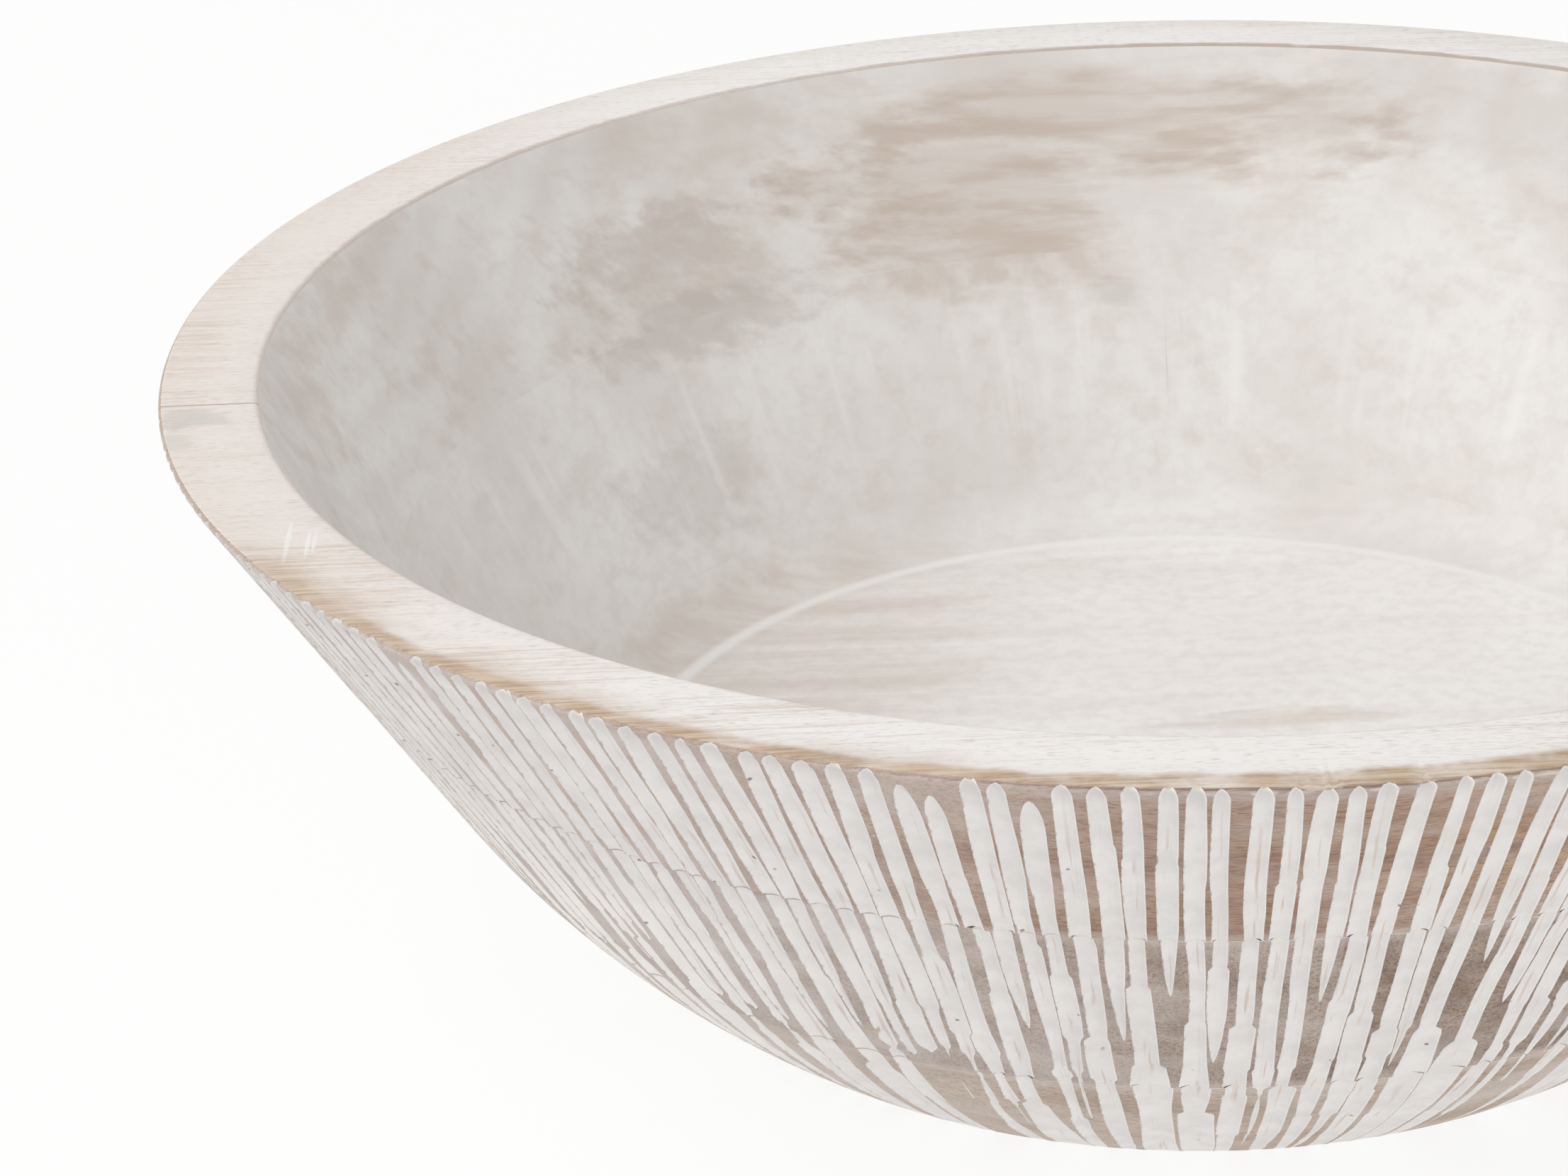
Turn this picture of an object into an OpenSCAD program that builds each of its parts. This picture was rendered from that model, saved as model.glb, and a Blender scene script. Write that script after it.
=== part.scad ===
// Dough bowl: a wide round bowl, turned from a blank of six glued boards.
// The boards lie in three layers with the grain of each layer crossed over the next.
// Origin: the centre of the flat foot. +Z is up, and +Y points away from the front.

/* [Bowl] */
// Largest diameter, across the rim
rim_d = 350; // [250:1:450]
// Height from the foot to the top of the rim
bowl_h = 107; // [80:1:150]
// Diameter of the flat foot
foot_d = 187; // [140:1:230]
// How much steeper the wall is below the rim than a straight line from rim to foot, in degrees
wall_bow = 4.7; // [2:0.1:12]
// Radius of the curve that takes the outer wall down to the foot
belly_r = 160; // [120:1:300]

/* [Rim] */
// Width of the rim, from its inner edge to its outermost point
rim_w = 16.5; // [10:0.5:26]
// Radius of the eased outer edge of the rim
rim_round = 0.8; // [0.5:0.1:5]
// Radius of the eased inner edge of the rim
lip_round = 1; // [0.3:0.1:3]

/* [Inside] */
// Diameter of the flat floor
floor_d = 201; // [140:1:230]
// Thickness of the floor over the foot
floor_t = 23; // [14:0.5:32]
// Radius of the cove between the floor and the wall
cove_r = 14; // [4:0.5:30]

/* [Boards] */
// Thickness of the upper layer
upper_t = 36; // [20:0.5:50]
// Thickness of the middle layer
middle_t = 40; // [20:0.5:50]
// Place of the upper layer's edge joint, in front of the centre
upper_joint_y = -20; // [-60:1:60]
// Place of the middle layer's edge joint, to the right of the centre
middle_joint_x = 8; // [-60:1:60]
// Place of the lower layer's edge joint, behind the centre
lower_joint_y = 18; // [-60:1:60]

/* [Hidden] */
$fn = 180;

rim_r = rim_d / 2;
foot_r = foot_d / 2;
floor_r = floor_d / 2;

// How far a cutting shape runs past what it cuts
overrun = 5;
reach = rim_r + overrun;

// Outer wall: a cone that leaves the eased rim edge, then an arc that is tangent to it and ends at the foot
wall_lean = atan2(rim_r - foot_r, bowl_h) - wall_bow;
wall_out = [cos(wall_lean), -sin(wall_lean)];
wall_down = [-sin(wall_lean), -cos(wall_lean)];
rim_centre = [rim_r - rim_round, bowl_h - rim_round];
wall_top = rim_centre + rim_round * wall_out;
belly_reach = wall_top - belly_r * wall_out - [foot_r, 0];
belly_along = belly_reach * wall_down;
wall_run = -belly_along - sqrt(pow(belly_along, 2) - belly_reach * belly_reach + pow(belly_r, 2));
wall_foot = wall_top + wall_run * wall_down;
belly_centre = wall_foot - belly_r * wall_out;
// Angle at which the arc reaches the foot, and how many chords stand for the arc
foot_turn = atan2(-belly_centre[1], foot_r - belly_centre[0]);
belly_steps = 24;

// Inner wall: a cone from the lip, tangent to the cove that rises from the edge of the floor
lip_edge = [rim_r - rim_w, bowl_h];
cove_centre = [floor_r, floor_t + cove_r];
lip_reach = lip_edge - cove_centre;
inner_lean = atan2(lip_reach[0], lip_reach[1]) - asin(cove_r / norm(lip_reach));
inner_out = [cos(inner_lean), -sin(inner_lean)];
// The eased lip is tangent to the flat top of the rim and to the inner cone
lip_centre = lip_edge + lip_round * [tan((90 - inner_lean) / 2), -1];

// Heights of the two glue planes over the foot
upper_z = bowl_h - upper_t;
middle_z = upper_z - middle_t;

upper_colour = "#b09a86";
middle_colour = "#a3917f";
lower_colour = "#a8947e";

// Point of the outer cone at a height over the foot
function wall_at(z) = [wall_top[0] - (wall_top[1] - z) * tan(wall_lean), z];

// Point of the inner cone at a height over the foot
function inner_at(z) = [lip_edge[0] - (lip_edge[1] - z) * tan(inner_lean), z];

// What turning a round takes off an edge: the part of the round's sector that lies outside it
module round_off(centre, radius, from_way, to_way, beyond) {
    side = radius + overrun;
    difference() {
        polygon([centre, centre + side * from_way, beyond, centre + side * to_way]);
        translate(centre) circle(radius);
    }
}

// Points of the belly's arc, from the foot up to the cone
function belly_points() = [
    for (i = [0 : belly_steps])
        let (turn = foot_turn + i / belly_steps * (-wall_lean - foot_turn))
            belly_centre + belly_r * [cos(turn), sin(turn)]
];

// Half of the section through the turned outside, from the axis to the outer wall
module outside_section() {
    difference() {
        polygon(concat([[0, 0]], belly_points(), [wall_at(bowl_h), [0, bowl_h]]));
        round_off(rim_centre, rim_round, [0, 1], wall_out, wall_at(bowl_h) + [overrun, overrun]);
    }
}

// Half of the section through the hollow, from the axis to the inner wall
module hollow_section() {
    difference() {
        polygon([[0, floor_t], inner_at(floor_t), inner_at(bowl_h + overrun), [0, bowl_h + overrun]]);
        round_off(cove_centre, cove_r, [0, -1], inner_out, inner_at(floor_t) + [overrun, -overrun]);
    }
}

// The whole turned bowl, before it is parted into its boards
module turned_bowl() {
    rotate_extrude() difference() {
        outside_section();
        hollow_section();
        round_off(lip_centre, lip_round, [0, 1], -inner_out, lip_edge + [-overrun, overrun]);
    }
}

// The room that one board takes in the blank, between two corners
module board_blank(low, high) {
    translate(low) cube(high - low);
}

module upper_front_board() {
    color(upper_colour) intersection() {
        turned_bowl();
        board_blank([-reach, -reach, upper_z], [reach, upper_joint_y, bowl_h + overrun]);
    }
}

module upper_back_board() {
    color(upper_colour) intersection() {
        turned_bowl();
        board_blank([-reach, upper_joint_y, upper_z], [reach, reach, bowl_h + overrun]);
    }
}

module middle_left_board() {
    color(middle_colour) intersection() {
        turned_bowl();
        board_blank([-reach, -reach, middle_z], [middle_joint_x, reach, upper_z]);
    }
}

module middle_right_board() {
    color(middle_colour) intersection() {
        turned_bowl();
        board_blank([middle_joint_x, -reach, middle_z], [reach, reach, upper_z]);
    }
}

module lower_front_board() {
    color(lower_colour) intersection() {
        turned_bowl();
        board_blank([-reach, -reach, -overrun], [reach, lower_joint_y, middle_z]);
    }
}

module lower_back_board() {
    color(lower_colour) intersection() {
        turned_bowl();
        board_blank([-reach, lower_joint_y, -overrun], [reach, reach, middle_z]);
    }
}

upper_front_board();
upper_back_board();
middle_left_board();
middle_right_board();
lower_front_board();
lower_back_board();
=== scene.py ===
"""Looks of a dough bowl: six glued boards, turned, carved with flutes and whitewashed.

Lengths are millimetres in the bowl's own frame, and MM turns them into Blender's metres.
Places on the outside are given by their distance along it, from the top of the rim to the foot.
"""

import logging
import math
from dataclasses import dataclass, field, replace
from enum import Enum
from typing import Union

import bpy
import numpy as np
from mathutils import Matrix, Vector


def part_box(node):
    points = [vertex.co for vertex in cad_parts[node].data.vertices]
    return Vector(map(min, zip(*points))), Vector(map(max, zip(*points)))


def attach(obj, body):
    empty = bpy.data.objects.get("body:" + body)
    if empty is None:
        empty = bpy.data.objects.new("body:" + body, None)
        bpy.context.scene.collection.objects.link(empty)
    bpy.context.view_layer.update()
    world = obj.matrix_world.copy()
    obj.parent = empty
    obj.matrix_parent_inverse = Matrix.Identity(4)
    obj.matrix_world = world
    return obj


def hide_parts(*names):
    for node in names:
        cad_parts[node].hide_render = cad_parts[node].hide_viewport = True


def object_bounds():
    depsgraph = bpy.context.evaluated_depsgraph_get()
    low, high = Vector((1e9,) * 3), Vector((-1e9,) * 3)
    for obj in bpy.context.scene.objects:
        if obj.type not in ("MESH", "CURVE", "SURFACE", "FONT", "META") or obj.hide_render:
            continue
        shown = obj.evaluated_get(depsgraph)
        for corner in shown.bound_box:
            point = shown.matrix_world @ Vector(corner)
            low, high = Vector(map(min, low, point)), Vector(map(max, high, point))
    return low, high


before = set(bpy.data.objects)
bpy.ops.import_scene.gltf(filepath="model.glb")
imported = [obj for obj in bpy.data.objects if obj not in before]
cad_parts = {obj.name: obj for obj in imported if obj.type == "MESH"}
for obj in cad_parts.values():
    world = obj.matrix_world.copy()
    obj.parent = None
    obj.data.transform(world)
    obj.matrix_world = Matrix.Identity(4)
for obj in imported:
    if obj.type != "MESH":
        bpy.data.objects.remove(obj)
CAD_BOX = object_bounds()

MM = 0.001
FULL_TURN = 2 * math.pi
BODY = "root"
BAKE_MAP = "OFBake"

Socket = bpy.types.NodeSocket
Node = bpy.types.Node
Tree = bpy.types.NodeTree
Thing = bpy.types.Object
Feed = Union[Socket, float, tuple, None]
Colour = tuple[float, float, float, float]
Point = tuple[float, float, float]
Span = tuple[float, float]
Array = np.ndarray

log = logging.getLogger("dough_bowl")


class Zone(Enum):
    """The parts of a board's surface that get a finish of their own."""

    CARVED = "carved"
    RIM = "rim"
    INSIDE = "inside"
    FOOT = "foot"
    GLUED = "glued"


class GrainWay(Enum):
    """The way that the grain of a layer runs, as its turn from the X axis."""

    ALONG_X = 0.0
    ALONG_Y = math.pi / 2


class Side(Enum):
    """The side of an edge joint that a board lies on."""

    LOW = -1
    HIGH = 1


def colour(code: str) -> Colour:
    """Turns a screen colour into the linear one that a shader takes.

    Args:
        code: the colour as "#rrggbb".

    Returns:
        Linear red, green and blue, with an alpha of 1.
    """
    shares = [int(code[i:i + 2], 16) / 255 for i in (1, 3, 5)]
    red, green, blue = [s / 12.92 if s <= 0.04045 else ((s + 0.055) / 1.055) ** 2.4 for s in shares]
    return red, green, blue, 1.0


def metres(point: Point) -> Point:
    """Returns a point given in millimetres in Blender's metres."""
    return point[0] * MM, point[1] * MM, point[2] * MM


def enter(mode: str) -> None:
    """Goes to edit or object mode."""
    bpy.ops.object.mode_set(mode=mode)


def deselect_all() -> None:
    """Leaves nothing selected, in object mode."""
    if bpy.context.object and bpy.context.object.mode != "OBJECT":
        enter("OBJECT")
    bpy.ops.object.select_all(action="DESELECT")


def pick(piece: Thing) -> None:
    """Makes one object the only selected one, and the active one."""
    deselect_all()
    piece.select_set(True)
    bpy.context.view_layer.objects.active = piece


@dataclass(frozen=True)
class Row:
    """One turned ring of a layer's section.

    The zone is that of the band of faces from this ring to the next. The distance along the outside is
    None off the outside, and out is the way that the outside faces there, in the section.
    """

    radius: float
    height: float
    zone: Zone
    along: float | None = None
    out: Span = (0.0, 0.0)


@dataclass
class Meridian:
    """The outside of the bowl in section, from the top of the rim down to the foot.

    It has the radius and height, and the way that the outside faces, at each distance along it.
    """

    along: Array
    place: Array
    out: Array

    def at(self, along: float, zone: Zone) -> Row:
        """Makes the ring at a distance along the outside.

        Args:
            along: the distance from the top of the rim.
            zone: the zone of the band that follows.

        Returns:
            The ring, on the turned surface.
        """
        radius, height = (float(np.interp(along, self.along, self.place[:, i])) for i in range(2))
        out = np.array([np.interp(along, self.along, self.out[:, i]) for i in range(2)])
        out /= np.linalg.norm(out)
        return Row(radius, height, zone, along, (float(out[0]), float(out[1])))

    def radius_at(self, along: Array) -> Array:
        """Returns the radius of the outside at distances along it."""
        return np.interp(along, self.along, self.place[:, 0])

    def at_height(self, height: float) -> float:
        """Returns the distance along the outside at which it has a height."""
        return float(np.interp(-height, -self.place[:, 1], self.along))


@dataclass(frozen=True)
class BowlForm:
    """The turned section of the bowl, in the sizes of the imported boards.

    The glue planes are at upper_z and middle_z, and wall_bow is how much steeper the wall is below the
    rim than a straight line from rim to foot. The parts are how many points a curve is worked out at.
    """

    rim_r: float
    height: float
    upper_z: float
    middle_z: float
    foot_r: float = 93.5
    wall_bow: float = math.radians(4.7)
    belly_r: float = 160.0
    rim_w: float = 16.5
    rim_round: float = 0.8
    lip_round: float = 1.0
    floor_r: float = 100.5
    floor_t: float = 23.0
    cove_r: float = 14.0
    rim_parts: int = 40
    belly_parts: int = 160

    @classmethod
    def from_frame(cls) -> "BowlForm":
        """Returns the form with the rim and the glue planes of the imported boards."""
        high = CAD_BOX[1]
        upper_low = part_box("upper_front_board")[0]
        middle_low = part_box("middle_left_board")[0]
        return cls(high.x / MM, high.z / MM, upper_low.z / MM, middle_low.z / MM)

    @property
    def wall_lean(self) -> float:
        """The lean of the outer cone from upright."""
        return math.atan2(self.rim_r - self.foot_r, self.height) - self.wall_bow

    def meridian(self) -> Meridian:
        """Works out the outside: the eased rim edge, a cone, and an arc down to the foot.

        Returns:
            The outside in small steps.
        """
        lean = self.wall_lean
        out = np.array([math.cos(lean), -math.sin(lean)])
        down = np.array([-math.sin(lean), -math.cos(lean)])
        rim_centre = np.array([self.rim_r - self.rim_round, self.height - self.rim_round])
        wall_top = rim_centre + self.rim_round * out
        reach = wall_top - self.belly_r * out - np.array([self.foot_r, 0.0])
        ahead = float(reach @ down)
        run = -ahead - math.sqrt(ahead ** 2 - float(reach @ reach) + self.belly_r ** 2)
        belly_centre = wall_top + run * down - self.belly_r * out
        foot_turn = math.atan2(-belly_centre[1], self.foot_r - belly_centre[0])
        rim_turns = np.linspace(math.pi / 2, -lean, self.rim_parts)
        belly_turns = np.linspace(-lean, foot_turn, self.belly_parts)
        rim_out = np.stack([np.cos(rim_turns), np.sin(rim_turns)], 1)
        belly_out = np.stack([np.cos(belly_turns), np.sin(belly_turns)], 1)
        place = np.concatenate([
            rim_centre + self.rim_round * rim_out,
            belly_centre + self.belly_r * belly_out,
        ])
        steps = np.linalg.norm(np.diff(place, axis=0), axis=1)
        along = np.concatenate([[0.0], np.cumsum(steps)])
        return Meridian(along, place, np.concatenate([rim_out, belly_out]))

    @property
    def inner_lean(self) -> float:
        """The lean of the inner cone from upright, tangent to the cove."""
        reach = (self.rim_r - self.rim_w - self.floor_r, self.height - self.floor_t - self.cove_r)
        return math.atan2(*reach) - math.asin(self.cove_r / math.hypot(*reach))

    def inner_at(self, height: float) -> float:
        """Returns the radius of the inner cone at a height."""
        return self.rim_r - self.rim_w - (self.height - height) * math.tan(self.inner_lean)

    def lip_rows(self, steps: int) -> list[Row]:
        """Returns the rings of the eased inner edge of the rim, from the top inwards."""
        lean = self.inner_lean
        centre_r = self.rim_r - self.rim_w + self.lip_round * math.tan((math.pi / 2 - lean) / 2)
        centre_z = self.height - self.lip_round
        turns = np.linspace(math.pi / 2, math.pi - lean, steps)
        return [
            Row(centre_r + self.lip_round * math.cos(t), centre_z + self.lip_round * math.sin(t), Zone.RIM)
            for t in turns
        ]

    def inner_rows(self, high: float, low: float, steps: int, zone: Zone = Zone.INSIDE) -> list[Row]:
        """Returns rings of the inner cone, between two heights."""
        return [Row(self.inner_at(float(z)), float(z), zone) for z in np.linspace(high, low, steps)]

    def cove_rows(self, steps: int) -> list[Row]:
        """Returns the rings of the cove, from the inner cone down to the edge of the floor."""
        turns = np.linspace(-self.inner_lean, -math.pi / 2, steps)
        centre_z = self.floor_t + self.cove_r
        return [
            Row(self.floor_r + self.cove_r * math.cos(t), centre_z + self.cove_r * math.sin(t), Zone.INSIDE)
            for t in turns
        ]


@dataclass(frozen=True)
class Dent:
    """A chip knocked out of the outside.

    Its turn round the axis is in degrees from +X. Across and down are half its width and its height.
    """

    turn: float
    along: float
    across: float
    down: float
    depth: float


@dataclass
class CarvedRows:
    """The carved outside at a run of rings, one value for each ring and column.

    The cut is the distance in from the edge of the nearest flute, below zero on the land between. The
    side is the place across the flute, from -1 to 1. The wear is how much of the surface is torn away.
    """

    turn: Array
    depth: Array
    cut: Array
    side: Array
    flute: Array
    wear: Array


@dataclass(frozen=True)
class Stroke:
    """One stroke of the gouge down the outside.

    Its start is rounded over the length blunt, and it runs out over the length taper, in a curve of the
    power run_out. Its middle lies aside from the flute's line. Near its start it has a share, slim, of
    the full width, which it reaches over the length swell. Past its end, its half width goes below zero
    at the rate past.
    """

    start: float
    end: float
    width: float
    blunt: float
    taper: float
    aside: float
    slim: float = 0.76
    swell: float = 17.0
    run_out: float = 0.6
    past: float = 0.25

    def half(self, along: Array) -> Array:
        """Returns half the stroke's width at distances along the outside, below zero past its ends."""
        begun = np.clip((along - self.start) / self.blunt, 0, 1)
        left = np.clip((self.end - along) / self.taper, 0, 1)
        grown = self.slim + (1 - self.slim) * np.clip((along - self.start) / self.swell, 0, 1)
        half = self.width / 2 * grown * np.sqrt(1 - (1 - begun) ** 2) * left ** self.run_out
        half = np.where(along < self.start, along - self.start, half)
        return np.where(along > self.end, (self.end - along) * self.past, half)


def blend(span: Span, value: Array | float) -> Array | float:
    """Returns the first of two numbers, with the second times a value added."""
    return span[0] + span[1] * value


@dataclass(frozen=True)
class GougeHabit:
    """How the carver works: the ranges that the sizes of the strokes are drawn from.

    The widths are usual ones at some distances along the outside. The short shares are those of the
    short flutes with each of the short ends, and of those that reach the foot after all. Blunt, slim
    and overlap shares are parts of a stroke's own width or taper.
    """

    widths: tuple[Span, ...] = ((0.0, 2.95), (20.0, 2.95), (60.0, 2.55), (80.0, 3.3), (100.0, 5.0))
    foot_width: float = 5.4
    width_ahead: float = 20.0
    width_shares: Span = (0.86, 1.16)
    side_widening: float = 0.5
    short_ends: tuple[Span, ...] = ((54.0, 92.0), (92.0, 120.0), (24.0, 50.0))
    short_shares: tuple[float, ...] = (0.45, 0.15, 0.08, 0.32)
    left_longer: float = 12.0
    past_foot: float = 30.0
    top_run: float = 0.2
    back_drop: float = 0.9
    back_turn: float = 1.4
    start_stray: Span = (-0.2, 0.55)
    late_share: float = 0.07
    late_by: Span = (1.5, 7.0)
    runs: Span = (34.0, 60.0)
    least_run: float = 14.0
    tapers: Span = (13.0, 26.0)
    blunt_shares: Span = (0.65, 1.15)
    blunt_turn: Span = (0.82, 0.3)
    later_blunt_shares: Span = (0.12, 0.3)
    late_blunt_share: float = 2.4
    slim_shares: Span = (0.82, 0.96)
    stray: float = 0.14
    overlap_shares: Span = (0.75, 1.15)

    def usual_width(self, along: float, end: float) -> float:
        """Returns the usual width of a stroke at a distance along an outside that ends at the foot."""
        places, widths = zip(*self.widths, (end, self.foot_width))
        return float(np.interp(along, places, widths))

    def strokes(self, draw: np.random.Generator, short: bool, turn: float, foot: float) -> list[Stroke]:
        """Draws the strokes of one flute.

        Args:
            draw: the source of chance.
            short: whether the flute may end above the foot.
            turn: its direction round the axis. The starts are squarer on the left than on the right,
                and the flutes are narrowest at the front and the back.
            foot: the distance along the outside at the foot.

        Returns:
            The strokes, from the rim down.
        """
        finish = foot + self.past_foot
        if short:
            ends = (*self.short_ends, (finish, finish))
            end_range = ends[draw.choice(len(ends), p=self.short_shares)]
            finish = draw.uniform(*end_range) + self.left_longer * max(0.0, -math.cos(turn))
        behind = min(1.0, max(0.0, 1 + self.back_turn * math.sin(turn)))
        start = self.top_run + self.back_drop * behind + draw.uniform(*self.start_stray)
        late = draw.random() < self.late_share
        if late:
            start += draw.uniform(*self.late_by)
        strokes: list[Stroke] = []
        while True:
            usual = self.usual_width(start + self.width_ahead, foot)
            width = usual * draw.uniform(*self.width_shares) * (1 + self.side_widening * abs(math.cos(turn)))
            run = draw.uniform(*self.runs)
            last = start + run > finish - self.least_run
            end = finish if last else start + run
            taper = draw.uniform(*self.tapers)
            blunt = width * draw.uniform(*self.blunt_shares) * blend(self.blunt_turn, math.cos(turn))
            if strokes:
                blunt = width * draw.uniform(*self.later_blunt_shares)
            elif late:
                blunt = width * self.late_blunt_share
            slim = 1.0 if strokes else draw.uniform(*self.slim_shares)
            strokes.append(Stroke(start, end, width, blunt, taper, draw.normal(0, self.stray), slim))
            if last:
                return strokes
            start = end - taper * draw.uniform(*self.overlap_shares)


@dataclass(frozen=True)
class EdgeHabit:
    """How uneven the edges of flutes are: torn in or out at a share of the rings, and wavering at all."""

    torn_share: float = 0.06
    torn_by: Span = (-0.26, 0.12)
    right_share: float = 0.4
    waver: float = 0.014
    least_half: float = 0.25


@dataclass(frozen=True)
class JointLip:
    """How the layers stand back at their glue lines, which shows as fine lips with a worn groove.

    The recess is the most at the upper line and at the lower one. The pairs of strengths, waviness and
    depth are a usual value, and what is added where the lip is strongest, wavy or worn.
    """

    recess: Span = (0.36, 0.14)
    middle: float = math.radians(-125)
    reach: float = math.radians(28)
    strength: Span = (0.2, 0.8)
    waves: tuple[int, ...] = (7, 13, 29, 61)
    waviness: Span = (0.75, 0.4)
    fade: float = 7.0
    groove_w: float = 0.3
    groove_depth: Span = (0.06, 0.08)
    groove_waves: tuple[int, int] = (83, 37)
    groove_strength: Span = (0.4, 0.6)

    @property
    def wave_count(self) -> int:
        """How many sets of waves there are in all."""
        return len(self.waves) + len(self.groove_waves)

    def depth(self, turn: Array, along: Array, lines: list[float], layer: int,
              starts: Array) -> Array:
        """Works out how far the outside stands back.

        Args:
            turn: direction of each column.
            along: distance of each ring.
            lines: distances of the two glue lines.
            layer: the number of the layer, from the rim down.
            starts: where each set of waves starts.

        Returns:
            A small depth, most of it just below the upper glue line on the left of the front.
        """
        step = np.zeros(turn.shape)
        left = np.exp(-(turn_between(turn, self.middle) / self.reach) ** 2)
        sets = [np.sin(turn * n + w) for n, w in zip(self.waves + self.groove_waves, starts)]
        count = len(self.waves)
        wavy = sum(sets[:count]) / count
        worn = np.clip(sum(sets[count:]), 0, 2)
        for above, (line, most) in enumerate(zip(lines, self.recess)):
            below = along[:, None] - line
            if layer == above + 1:
                lip = most * blend(self.strength, left) * blend(self.waviness, wavy)
                step += lip * np.exp(-np.maximum(below, 0) / self.fade)
            groove = blend(self.groove_depth, worn) * blend(self.groove_strength, left)
            step += np.exp(-np.abs(below) / self.groove_w) * groove
        return step


def turn_between(turn: Array, target: Array | float) -> Array:
    """Returns how far directions are turned from a target, within half a turn to both sides."""
    return (turn - target + math.pi) % FULL_TURN - math.pi


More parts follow.
